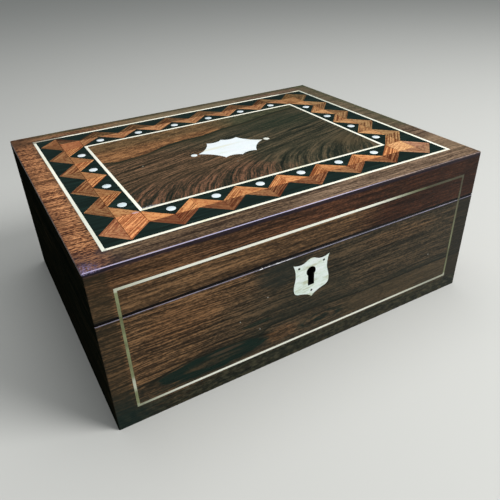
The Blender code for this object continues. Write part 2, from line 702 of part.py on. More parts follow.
def make_hinges(shop, back_board, back_rail):
    """Two butt hinges: a leaf in the base, a leaf in the lid and a pin through both."""
    base_own = list(range(0, KNUCKLE_COUNT, 2))
    lid_own = list(range(1, KNUCKLE_COUNT, 2))
    for side, centre_x in (("left", -HINGE_SPACING / 2), ("right", HINGE_SPACING / 2)):
        base_low = BASE_HEIGHT - HINGE_LEAF_THICKNESS
        make_leaf(shop, f"hinge_{side}_base_leaf", centre_x, base_own, base_low, False)
        make_leaf(shop, f"hinge_{side}_lid_leaf", centre_x, lid_own, LID_BOTTOM, True)
        pin = hinge_rod(HINGE_PIN_RADIUS, centre_x - HINGE_LENGTH / 2, centre_x + HINGE_LENGTH / 2)
        shop.add(f"hinge_{side}_pin", pin, "brass", smooth=True)
        cut_hinge_seat(shop, back_board, f"hinge_{side}_base", centre_x,
                       base_low - PIECE_GAP, BASE_HEIGHT + CUTTER_RUN_OUT, False)
        cut_hinge_seat(shop, back_rail, f"hinge_{side}_lid", centre_x,
                       LID_BOTTOM - CUTTER_RUN_OUT, LID_BOTTOM + HINGE_LEAF_THICKNESS + PIECE_GAP, True)


def make_lid_veneers(shop):
    """Border veneer, strings, marquetry band and centre panel, all flush with the lid's top."""
    low = HEIGHT - VENEER
    border = frame_mesh(OUTER_STRING_INSET - PIECE_GAP, low, HEIGHT)
    shop.add("top_border_veneer", border, "rosewood", on_lid=True)

    outer_string = [inset_rectangle(OUTER_STRING_INSET), inset_rectangle(OUTER_STRING_INSET + STRING_WIDTH)]
    shop.add("outer_string", plate_mesh(outer_string, low, HEIGHT), "white_metal", on_lid=True)
    inner_string = [inset_rectangle(INNER_STRING_INSET), inset_rectangle(INNER_STRING_INSET + STRING_WIDTH)]
    shop.add("inner_string", plate_mesh(inner_string, low, HEIGHT), "white_metal", on_lid=True)

    half_gap = PIECE_GAP / 2
    zigzag = [grown(zigzag_outer_outline(), -half_gap), grown(zigzag_inner_outline(), half_gap)]
    shop.add("zigzag_band", plate_mesh(zigzag, low, HEIGHT), "tulipwood", on_lid=True)
    outer_ebony = [inset_rectangle(OUTER_STRING_INSET + STRING_WIDTH + PIECE_GAP),
                   grown(zigzag_outer_outline(), half_gap)]
    shop.add("outer_ebony_band", plate_mesh(outer_ebony, low, HEIGHT), "ebony", on_lid=True)
    inner_ebony = [grown(zigzag_inner_outline(), -half_gap), inset_rectangle(INNER_STRING_INSET - PIECE_GAP)]
    for name, centre in pearl_dot_places():
        inner_ebony.append(circle(DOT_RADIUS + PIECE_GAP, DOT_SEGMENTS, centre))
    shop.add("inner_ebony_band", plate_mesh(inner_ebony, low, HEIGHT), "ebony", on_lid=True)

    centre = Vector((CARTOUCHE_OFFSET_X, CARTOUCHE_OFFSET_Y))
    dot_reach = CARTOUCHE_LENGTH / 2 + END_DOT_CLEARANCE + END_DOT_RADIUS
    cartouche_hole = [point + centre for point in grown(cartouche_outline(), PIECE_GAP)]
    end_dot_holes = [circle(END_DOT_RADIUS + PIECE_GAP, DOT_SEGMENTS, centre + Vector((way * dot_reach, 0.0)))
                     for way in (-1, 1)]
    panel = [inset_rectangle(INNER_STRING_INSET + STRING_WIDTH + PIECE_GAP), cartouche_hole] + end_dot_holes
    shop.add("centre_panel", plate_mesh(panel, low, HEIGHT), "figured_rosewood", on_lid=True)


def make_pearls(shop):
    """The cartouche, its two end dots and the dots in the inner ebony triangles."""
    low = HEIGHT - VENEER
    centre = Vector((CARTOUCHE_OFFSET_X, CARTOUCHE_OFFSET_Y, low))
    shop.add("cartouche", plate_mesh([cartouche_outline()], 0.0, VENEER), "pearl", centre, on_lid=True)

    dot_reach = CARTOUCHE_LENGTH / 2 + END_DOT_CLEARANCE + END_DOT_RADIUS
    for name, way in (("left", -1), ("right", 1)):
        dot = plate_mesh([circle(END_DOT_RADIUS, DOT_SEGMENTS)], 0.0, VENEER)
        place = centre + Vector((way * dot_reach, 0.0, 0.0))
        shop.add(f"cartouche_dot_{name}", dot, "pearl", place, on_lid=True, smooth=True)

    shared = None
    for name, spot in pearl_dot_places():
        mesh = shared or plate_mesh([circle(DOT_RADIUS, DOT_SEGMENTS)], 0.0, VENEER)
        dot = shop.add(name, mesh, "pearl", (spot.x, spot.y, low), on_lid=True, smooth=True)
        shared = dot.data


def main():
    for leftover in list(bpy.data.objects):
        bpy.data.objects.remove(leftover, do_unlink=True)
    shop = Workshop()
    base = make_base_boards(shop)
    lid = make_lid_boards(shop)
    make_front_string(shop, base["front"], lid["front"])
    make_escutcheon(shop, base["front"])
    make_lock(shop, base["front"])
    make_link_plate(shop, lid["front"])
    make_hinges(shop, base["back"], lid["back"])
    make_lid_veneers(shop)
    make_pearls(shop)
    bpy.context.view_layer.update()


main()
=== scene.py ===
import math
import random

import bmesh
import bpy
from mathutils import Matrix, Vector
from mathutils.geometry import interpolate_bezier


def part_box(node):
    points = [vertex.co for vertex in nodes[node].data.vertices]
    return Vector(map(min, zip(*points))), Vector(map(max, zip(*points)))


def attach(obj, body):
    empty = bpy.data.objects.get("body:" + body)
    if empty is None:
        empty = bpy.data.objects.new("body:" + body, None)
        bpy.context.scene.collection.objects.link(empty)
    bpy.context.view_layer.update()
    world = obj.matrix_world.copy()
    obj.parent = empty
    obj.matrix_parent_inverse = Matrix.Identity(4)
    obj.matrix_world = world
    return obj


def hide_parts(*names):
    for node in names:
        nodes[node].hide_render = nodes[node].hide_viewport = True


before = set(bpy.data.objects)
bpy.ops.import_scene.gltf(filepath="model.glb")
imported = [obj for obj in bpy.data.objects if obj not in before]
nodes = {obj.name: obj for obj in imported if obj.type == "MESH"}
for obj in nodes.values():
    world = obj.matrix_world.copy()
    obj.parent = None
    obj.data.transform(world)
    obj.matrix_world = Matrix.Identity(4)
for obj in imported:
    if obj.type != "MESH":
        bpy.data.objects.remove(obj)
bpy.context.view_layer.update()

# The box, from its solids
HALF_X, HALF_Y, LID_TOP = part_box("top_border_veneer")[1]
VENEER_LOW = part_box("top_border_veneer")[0].z
BASE_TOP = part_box("base_front_board")[1].z
LID_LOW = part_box("lid_front_rail")[0].z
WALL = 0.0095
ARRIS_RADIUS = 0.0010
ARRIS_SEGMENTS = 5

# Strings
STRING_WIDTH = 0.0022
STRING_DEPTH = 0.0012
OUTER_INSET = 0.0157
INNER_INSET = 0.0499
FRONT_STRING_WIDTH = 0.0018
FRONT_STRING_SIDE = 0.0144
FRONT_STRING_HIGH = LID_TOP - 0.0151
FRONT_STRING_LOW = 0.0134

# Marquetry
BAND_WIDTH = INNER_INSET - OUTER_INSET - STRING_WIDTH
BAND_MIDDLE = BAND_WIDTH / 2
EBONY_LINE = 0.0010
POINT_OUT = BAND_WIDTH - EBONY_LINE
FRONT_TEETH = 6
SIDE_TEETH = 4
DOT_RADIUS = 0.0031
END_DOT_RADIUS = 0.0025
DOT_SEAT = 0.0069
DOT_SLIP = {"front": -0.0005, "right": -0.0004, "back": 0.0013, "left": 0.0020}
DOT_STRAY = {"front_1": (0.0015, 0.0004), "right_1": (0.0011, -0.0006)}

# Escutcheon, measured from its crown
CROWN = Vector((-0.0036, -HALF_Y, BASE_TOP - 0.0061))
LEAN = math.radians(1.5)

# Joints between inlaid pieces
GLUE_LINE = 0.00005
TILE_LINE = 0.00006
BAND_LINE = 0.00014
DOT_LINE = 0.00004
SHIELD_LINE = 0.0002
HOUSING_LINE = 0.0001

# What the cutters reach past the face that they cut
PAST = 0.002


# Outlines


def rectangle(inset):
    """The box's outline drawn in, counter-clockwise."""
    x, y = HALF_X - inset, HALF_Y - inset
    return [Vector((-x, -y)), Vector((x, -y)), Vector((x, y)), Vector((-x, y))]


def circle(radius, segments, centre=(0.0, 0.0)):
    """Points of a circle, counter-clockwise."""
    turns = [2 * math.pi * index / segments for index in range(segments)]
    return [Vector((centre[0] + radius * math.cos(a), centre[1] + radius * math.sin(a))) for a in turns]


def drawn_in(outline, amounts):
    """A counter-clockwise outline with each edge moved inwards by its own amount."""
    count = len(outline)
    if isinstance(amounts, float):
        amounts = [amounts] * count
    moved = []
    for index, point in enumerate(outline):
        before = (point - outline[index - 1]).normalized()
        after = (outline[(index + 1) % count] - point).normalized()
        in_before, in_after = Vector((-before.y, before.x)), Vector((-after.y, after.x))
        turn = before.cross(after)
        if abs(turn) < 1e-4:
            moved.append(point + in_before * amounts[index - 1])
            continue
        slide = (amounts[index] - amounts[index - 1] * in_before.dot(in_after)) / turn
        moved.append(point + in_before * amounts[index - 1] - before * slide)
    return moved


def hollow_arc(start, end, sagitta, segments):
    """Points after start up to end, on an arc that bows to the left of the way from start to end."""
    chord = end - start
    half = chord.length / 2
    radius = (half * half + sagitta * sagitta) / (2 * sagitta)
    left = Vector((-chord.y, chord.x)).normalized()
    centre = (start + end) / 2 + left * (sagitta - radius)
    sweep = 2 * math.asin(half / radius)
    spoke = start - centre
    steps = range(1, segments + 1)
    return [centre + Matrix.Rotation(-sweep * step / segments, 2) @ spoke for step in steps]


def cartouche_outline():
    """Eight points joined by hollow scallops."""
    tip, crest, shoulder_x, shoulder_y = 0.0287, 0.0188, 0.0134, 0.0173
    quarter = [(tip, 0.0), (shoulder_x, shoulder_y), (0.0, crest), (-shoulder_x, shoulder_y)]
    corners = [Vector(corner) for corner in quarter] + [-Vector(corner) for corner in quarter]
    points = []
    for index, corner in enumerate(corners):
        points += hollow_arc(corner, corners[(index + 1) % len(corners)], 0.0024, 14)
    return points


def escutcheon_outline():
    """Leaning shield with a peaked crown, hollow sides and two round lobes, hanging from its crown."""
    half, height = 0.0146, 0.0321
    curves = [
        ([(0.0, 0.0), (0.20, 0.0), (0.34, -0.088), (0.58, -0.088)], 12),
        ([(0.58, -0.088), (0.79, -0.088), (0.90, -0.063), (1.01, -0.044)], 8),
        ([(1.01, -0.044), (0.93, -0.12), (0.885, -0.23), (0.885, -0.33)], 10),
        ([(0.885, -0.33), (0.885, -0.44), (1.0, -0.53), (1.0, -0.66)], 12),
        ([(1.0, -0.66), (1.0, -0.765), (0.92, -0.812), (0.74, -0.835)], 12),
        ([(0.74, -0.835), (0.41, -0.872), (0.20, -0.903), (0.0, -1.0)], 12),
    ]
    right = []
    for curve, segments in curves:
        knots = [Vector((across * half, down * height)) for across, down in curve]
        right += [Vector((p.x, p.y)) for p in interpolate_bezier(*knots, segments + 1)[:-1]]
    right.append(Vector((0.0, -height)))
    return leaned(list(reversed(right)) + [Vector((-p.x, p.y)) for p in right[1:-1]])


def leaned(points):
    """Points of the upright shield, turned about its crown to the way it leans."""
    return [Matrix.Rotation(LEAN, 2) @ point for point in points]


def keyhole_outline():
    """Round head with a straight slot below it, measured from the escutcheon's crown."""
    radius, half, foot, head, aside = 0.0038, 0.0026, -0.0220, -0.0106, -0.0004
    lowest = math.acos(half / radius)
    points = [Vector((aside - half, foot)), Vector((aside + half, foot))]
    for step in range(33):
        angle = -lowest + (math.pi + 2 * lowest) * step / 32
        points.append(Vector((aside + radius * math.cos(angle), head + radius * math.sin(angle))))
    return leaned(points)


# Meshes


def corners_at(bm, outline, height):
    """Vertices of an outline at one height."""
    return [bm.verts.new((point.x, point.y, height)) for point in outline]


def plate(outlines, low, high):
    """A flat plate from its outer outline and the outlines of its holes."""
    bm = bmesh.new()
    edges = []
    for outline in outlines:
        verts = corners_at(bm, outline, low)
        edges += [bm.edges.new((vert, verts[(i + 1) % len(verts)])) for i, vert in enumerate(verts)]
    bmesh.ops.triangle_fill(bm, use_beauty=True, use_dissolve=False, edges=edges)
    thicken(bm, high - low)
    return bm


def lift(bm, faces, height):
    """Extrudes flat faces upwards and gives their upper vertices."""
    raised = bmesh.ops.extrude_face_region(bm, geom=faces)
    moved = [item for item in raised["geom"] if isinstance(item, bmesh.types.BMVert)]
    bmesh.ops.translate(bm, verts=moved, vec=(0.0, 0.0, height))
    return moved


def thicken(bm, height):
    """Makes a flat mesh a closed solid."""
    lift(bm, bm.faces[:], height)
    bmesh.ops.recalc_face_normals(bm, faces=bm.faces[:])


def add_solid(bm, outline, low, high):
    """Adds a flat solid to a mesh and gives its faces."""
    face = bm.faces.new(corners_at(bm, outline, low))
    moved = lift(bm, [face], high - low)
    faces = [*dict.fromkeys(each for vert in moved for each in vert.link_faces), face]
    bmesh.ops.recalc_face_normals(bm, faces=faces)
    return faces


def tile(points, low, high):
    """A flat tile with one face on top."""
    bm = bmesh.new()
    add_solid(bm, points, low, high)
    return bm


def soften(bm, edges, radius, segments):
    """Rounds edges."""
    bmesh.ops.bevel(bm, geom=edges, offset=radius, offset_type="OFFSET", segments=segments,
                    profile=0.5, affect="EDGES", clamp_overlap=True, material=-1)


def rim_edges(bm, height):
    """Edges round the top, where it meets the sides."""
    found = []
    for edge in bm.edges:
        level = all(abs(vert.co.z - height) < 1e-6 for vert in edge.verts)
        if level and any(abs(face.normal.z) < 0.5 for face in edge.link_faces):
            found.append(edge)
    return found


def ring(border, low, high):
    """A rectangular ring with mitred corners."""
    bm = bmesh.new()
    face = bm.faces.new(corners_at(bm, rectangle(0.0), low))
    bm.normal_update()
    bmesh.ops.inset_individual(bm, faces=[face], thickness=border, use_even_offset=True)
    bmesh.ops.delete(bm, geom=[face], context="FACES_ONLY")
    thicken(bm, high - low)
    return bm


def round_arrises(bm, border, low, high):
    """Rounds the upright and the top outer arrises of a ring."""
    arrises = []
    for edge in bm.edges:
        outside = all(abs(v.co.x) > HALF_X - border / 2 and abs(v.co.y) > HALF_Y - border / 2
                      for v in edge.verts)
        if outside and any(v.co.z > (low + high) / 2 for v in edge.verts):
            arrises.append(edge)
    soften(bm, arrises, ARRIS_RADIUS, ARRIS_SEGMENTS)


def block(low, high):
    """A plain block between two corners."""
    bm = bmesh.new()
    size, middle = Vector(high) - Vector(low), (Vector(high) + Vector(low)) / 2
    bmesh.ops.create_cube(bm, size=1.0, matrix=Matrix.Translation(middle) @ Matrix.Diagonal((*size, 1.0)))
    return bm


def rod(radius, low_x, high_x, y, z):
    """A round rod along X."""
    bm = bmesh.new()
    place = Matrix.Translation(((low_x + high_x) / 2, y, z)) @ Matrix.Rotation(math.pi / 2, 4, "Y")
    bmesh.ops.create_cone(bm, cap_ends=True, segments=32, radius1=radius, radius2=radius,
                          depth=high_x - low_x, matrix=place)
    return bm


def join(parts):
    """Several meshes in one."""
    whole = bmesh.new()
    for part in parts:
        data = bpy.data.meshes.new("part")
        part.to_mesh(data)
        part.free()
        whole.from_mesh(data)
        bpy.data.meshes.remove(data)
    return whole


def stand(bm, crown):
    """Turns a flat mesh up to face the front, with its origin at crown."""
    bm.transform(Matrix.Translation(crown) @ Matrix.Rotation(math.pi / 2, 4, "X"))
    return bm


def new_object(name, bm):
    """Puts a mesh into the scene as an object."""
    data = bpy.data.meshes.new(name)
    bm.to_mesh(data)
    bm.free()
    made = bpy.data.objects.new(name, data)
    bpy.context.scene.collection.objects.link(made)
    return made


def set_finishes(made, finishes):
    """Gives an object its materials."""
    made.data.materials.clear()
    for finish in finishes:
        made.data.materials.append(finish)


def shade_round(made, angle):
    """Smooth shading, with an edge wherever faces meet at more than angle degrees."""
    made.data.shade_smooth()
    made.data.set_sharp_from_angle(angle=math.radians(angle))


def piece(name, bm, finishes, body, replaced=(), smooth=0.0):
    """Adds a piece of the object, riding on its body."""
    made = new_object(name, bm)
    set_finishes(made, finishes)
    if smooth:
        shade_round(made, smooth)
    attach(made, body)
    if replaced:
        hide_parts(*replaced)
    return made


def carve(made, cutters):
    """Cuts every cutter out of a piece and keeps the result as its mesh."""
    tools = [new_object(f"cutter_{number}", bm) for number, bm in enumerate(cutters)]
    for tool in tools:
        cut = made.modifiers.new(tool.name, "BOOLEAN")
        cut.operation, cut.solver, cut.object = "DIFFERENCE", "EXACT", tool
    keep_result(made)
    for tool in tools:
        bpy.data.objects.remove(tool, do_unlink=True)


def keep_result(made):
    """Applies a piece's modifiers."""
    bpy.context.view_layer.update()
    ready = made.evaluated_get(bpy.context.evaluated_depsgraph_get())
    data = bpy.data.meshes.new_from_object(ready)
    old = made.data
    made.modifiers.clear()
    made.data = data
    bpy.data.meshes.remove(old)
    data.name = made.name


def even_shading(made):
    """Lets the large flat faces set the shading of the rounded arrises next to them."""
    shade_round(made, 40)
    weighted = made.modifiers.new("even_shading", "WEIGHTED_NORMAL")
    weighted.keep_sharp = True
    weighted.weight = 80
    keep_result(made)


def middle_of(name):
    """The middle of a solid, seen from above."""
    low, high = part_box(name)
    return Vector(((low.x + high.x) / 2, (low.y + high.y) / 2))


# Material webs


class Field:
    """A value that varies over a surface, with ordinary arithmetic."""

    def __init__(self, web, socket):
        self.web = web
        self.socket = socket

    def __add__(self, other):
        return self.web.math("ADD", self, other)

    def __sub__(self, other):
        return self.web.math("SUBTRACT", self, other)

    def __rsub__(self, other):
        return self.web.math("SUBTRACT", other, self)

    def __mul__(self, other):
        return self.web.math("MULTIPLY", self, other)

    def __truediv__(self, other):
        return self.web.math("DIVIDE", self, other)

    __radd__ = __add__
    __rmul__ = __mul__


class Web:
    """Short ways to add nodes to one node tree."""

    def __init__(self, tree):
        self.tree = tree

    def node(self, kind, **settings):
        made = self.tree.nodes.new(kind)
        for name, value in settings.items():
            setattr(made, name, value)
        return made

    def feed(self, socket, value):
        if isinstance(value, Field):
            self.tree.links.new(value.socket, socket)
        else:
            socket.default_value = value

    def math(self, operation, *values, clamp=False):
        made = self.node("ShaderNodeMath", operation=operation, use_clamp=clamp)
        for socket, value in zip(made.inputs, values):
            self.feed(socket, value)
        return Field(self, made.outputs[0])

    def object_place(self):
        """X, Y and Z on the object, in metres."""
        split = self.node("ShaderNodeSeparateXYZ")
        source = self.node("ShaderNodeTexCoord").outputs["Object"]
        self.tree.links.new(source, split.inputs[0])
        return [Field(self, split.outputs[index]) for index in range(3)]

    def uv_place(self, layer):
        """U and V of a piece's own map."""
        split = self.node("ShaderNodeSeparateXYZ")
        self.tree.links.new(self.node("ShaderNodeUVMap", uv_map=layer).outputs[0], split.inputs[0])
        return [Field(self, split.outputs[index]) for index in range(2)]

    def attribute(self, name):
        return Field(self, self.node("ShaderNodeAttribute", attribute_name=name).outputs["Color"])

    def vector(self, x, y, z):
        made = self.node("ShaderNodeCombineXYZ")
        for socket, value in zip(made.inputs, (x, y, z)):
            self.feed(socket, value)
        return Field(self, made.outputs[0])

    def noise(self, place, detail=2.0, roughness=0.5, distortion=0.0):
        """Noise at a place of three values."""
        made = self.node("ShaderNodeTexNoise", noise_dimensions="3D")
        self.feed(made.inputs["Vector"], self.vector(*place))
        for name, value in (("Scale", 1.0), ("Detail", detail), ("Roughness", roughness),
                            ("Distortion", distortion)):
            made.inputs[name].default_value = value
        return Field(self, made.outputs["Fac"])

    def rise(self, value, low, high):
        """0 below low and 1 above high, smooth between; falls where low is the larger."""
        made = self.node("ShaderNodeMapRange", interpolation_type="SMOOTHSTEP")
        self.feed(made.inputs["Value"], value)
        ends = (low, high, 0.0, 1.0) if low < high else (high, low, 1.0, 0.0)
        for name, number in zip(("From Min", "From Max", "To Min", "To Max"), ends):
            made.inputs[name].default_value = number
        return Field(self, made.outputs["Result"])

    def near(self, value, none, full):
        """1 within full of zero and 0 beyond none."""
        return self.rise(self.math("ABSOLUTE", value), none, full)

    def ramp(self, value, *stops):
        """Colours along a value; each stop is a position and a colour."""
        made = self.node("ShaderNodeValToRGB")
        elements = made.color_ramp.elements
        while len(elements) < len(stops):
            elements.new(0.5)
        for element, (position, colour) in zip(elements, stops):
            element.position, element.color = position, colour
        self.feed(made.inputs["Fac"], value)
        return Field(self, made.outputs["Color"])

    def shades(self, value, *tones, at=(0.30, 0.50, 0.70)):
        """Tones of display values along a value."""
        return self.ramp(value, *((position, tone(*each)) for position, each in zip(at, tones)))

    def blend(self, share, first, second, mode="MIX"):
        made = self.node("ShaderNodeMix", data_type="RGBA", blend_type=mode)
        self.feed(made.inputs[0], share)
        self.feed(made.inputs[6], first)
        self.feed(made.inputs[7], second)
        return Field(self, made.outputs[2])

    def length(self, x, y):
        return self.math("SQRT", x * x + y * y)

    def effect(self, group, **inputs):
        """Places a shared effect and gives its outputs by name."""
        made = self.node("ShaderNodeGroup", node_tree=group)
        for name, value in inputs.items():
            self.feed(made.inputs[name], value)
        return {socket.name: Field(self, socket) for socket in made.outputs}

    def bump(self, height, strength, distance):
        made = self.node("ShaderNodeBump")
        made.inputs["Strength"].default_value = strength
        made.inputs["Distance"].default_value = distance
        self.feed(made.inputs["Height"], height)
        return Field(self, made.outputs["Normal"])


class Coat:
    """A colour that is laid on in layers."""

    def __init__(self, web, colour):
        self.web = web
        self.colour = colour

    def lay(self, share, colour):
        """Covers a share of what lies below."""
        self.colour = self.web.blend(share, self.colour, colour)


def tone(red, green, blue):
    """A colour from its display values, 0 to 255."""
    shares = [value / 255 for value in (red, green, blue)]
    return (*(s / 12.92 if s <= 0.04045 else ((s + 0.055) / 1.055) ** 2.4 for s in shares), 1.0)


def new_group(name, inputs, outputs):
    """An empty effect with named inputs and outputs, and what its inputs give."""
    tree = bpy.data.node_groups.new(name, "ShaderNodeTree")
    for way, names in (("INPUT", inputs), ("OUTPUT", outputs)):
        for socket in names:
            tree.interface.new_socket(name=socket, in_out=way, socket_type="NodeSocketFloat")
    web = Web(tree)
    given = web.node("NodeGroupInput").outputs
    return web, [Field(web, given[name]) for name in inputs]


def close_group(web, **outputs):
    leave = web.node("NodeGroupOutput")
    for name, field in outputs.items():
        web.feed(leave.inputs[name], field)
    return web.tree


def make_grain():
    """Wood grain along one direction: streaks, lines, growth rings, fibres, short flecks and open pores."""
    web, (along, across, depth, seed) = new_group(
        "wood_grain", ["Along", "Across", "Depth", "Seed"],
        ["Streaks", "Lines", "Rings", "Fibres", "Flecks", "Pores"])
    sway = web.noise((along * 14.0 + seed, across * 30.0, depth * 30.0), 2.0)
    ripple = web.noise((along * 60.0, across * 140.0 + seed, depth * 140.0), 2.0)
    bent = across + (sway - 0.5) * 0.0036 + (ripple - 0.5) * 0.0016
    streaks = web.noise((along * 6.0, bent * 110.0 + seed, depth * 110.0), 3.0, 0.55)
    lines = web.noise((along * 24.0 + seed, bent * 640.0, depth * 640.0), 3.0, 0.68)
    wander = web.noise((along * 8.0, bent * 150.0 + seed, depth * 150.0), 2.0)
    rings = web.math("SINE", (bent + depth) * 2700.0 + wander * 26.0 + lines * 5.0) * 0.5 + 0.5
    fibres = web.noise((along * 110.0, bent * 3000.0 + seed, depth * 3000.0), 2.0, 0.6)
    flecks = web.noise((along * 420.0 + seed, bent * 1050.0, depth * 1050.0), 2.0, 0.6)
    dashes = web.noise((along * 95.0 + seed, bent * 1500.0, depth * 1500.0), 1.0, 0.5)
    pores = web.rise(dashes, 0.60, 0.71)
    return close_group(web, Streaks=streaks, Lines=lines, Rings=rings, Fibres=fibres,
                       Flecks=flecks, Pores=pores)


def figure(web, grain, rings=0.09, lines=0.95, streaks=0.40, fibres=0.40, flecks=0.20):
    """Light and dark of the grain about 0.5, from its parts in the given shares."""
    total = (grain["Rings"] - 0.5) * rings + (grain["Lines"] - 0.5) * lines
    total = total + (grain["Streaks"] - 0.5) * streaks + (grain["Fibres"] - 0.5) * fibres
    return total + (grain["Flecks"] - 0.5) * flecks + 0.5


def make_polish():
    """French polish: roughness with soft smears, and the faint unevenness of its surface."""
    web, (x, y, z, roughness, smeared) = new_group(
        "polish", ["X", "Y", "Z", "Roughness", "Smears"], ["Roughness", "Height"])
    smears = web.noise((x * 22.0, y * 30.0, z * 30.0), 4.0, 0.6, 0.6)
    dust = web.noise((x * 700.0, y * 700.0, z * 700.0), 2.0, 0.5)
    scratches = web.rise(web.noise((x * 60.0, y * 1600.0, z * 1600.0), 1.0), 0.70, 0.78)
    rough = roughness + (smears - 0.5) * smeared + scratches * 0.08
    ripple = web.noise((x * 55.0, y * 70.0, z * 70.0), 2.0, 0.5)
    height = ripple * 0.7 + dust * 0.06 - scratches * 0.05
    return close_group(web, Roughness=rough, Height=height)


def make_arris():
    """How much an outer arris is rubbed and lit: wear with a painted highlight."""
    web, (x, y, z, top, width) = new_group("rubbed_lit_arris", ["X", "Y", "Z", "Top", "Width"], ["Rub"])
    from_x = HALF_X - web.math("ABSOLUTE", x)
    from_y = HALF_Y - web.math("ABSOLUTE", y)
    from_top = web.math("ABSOLUTE", top - z)
    nearer = web.math("MINIMUM", from_x, from_y)
    farther = web.math("MAXIMUM", from_x, from_y)
    second = web.math("MAXIMUM", nearer, web.math("MINIMUM", farther, from_top))
    edge = web.math("SUBTRACT", 1.0, second / width, clamp=True)
    patches = web.noise((x * 60.0, y * 60.0, z * 60.0), 4.0, 0.65)
    rub_and_highlight = web.rise(edge + (patches - 0.5) * 1.3, 0.55, 0.95)
    return close_group(web, Rub=rub_and_highlight)


GRAIN = make_grain()
POLISH = make_polish()
ARRIS = make_arris()


def start(name, metallic=0.0, coat=0.0, specular=0.5, roughness=0.4):
    """A new material, its web and its Principled shader."""
    material = bpy.data.materials.new(name)
    material.use_nodes = True
    shader = material.node_tree.nodes["Principled BSDF"]
    shader.inputs["Metallic"].default_value = metallic
    shader.inputs["Roughness"].default_value = roughness
    shader.inputs["Specular IOR Level"].default_value = specular
    shader.inputs["Coat Weight"].default_value = coat
    shader.inputs["Coat Roughness"].default_value = 0.12
    return material, Web(material.node_tree), shader


def surface(web, shader, colour, roughness, height, relief, distance=0.0001):
    """Feeds a shader its colour, its roughness and its bump."""
    web.feed(shader.inputs["Base Color"], colour)
    web.feed(shader.inputs["Roughness"], roughness)
    web.feed(shader.inputs["Normal"], web.bump(height, relief, distance))


def finish_wood(web, shader, colour, place, grain, roughness, smears=0.10, relief=0.25):
    """Colour, polish and relief of a polished wood."""
    x, y, z = place
    polish = web.effect(POLISH, X=x, Y=y, Z=z, Roughness=roughness, Smears=smears)
    height = polish["Height"] - grain["Pores"] * 0.5 + grain["Lines"] * 0.12
    surface(web, shader, colour, polish["Roughness"] + grain["Pores"] * 0.12, height, relief, 0.00012)


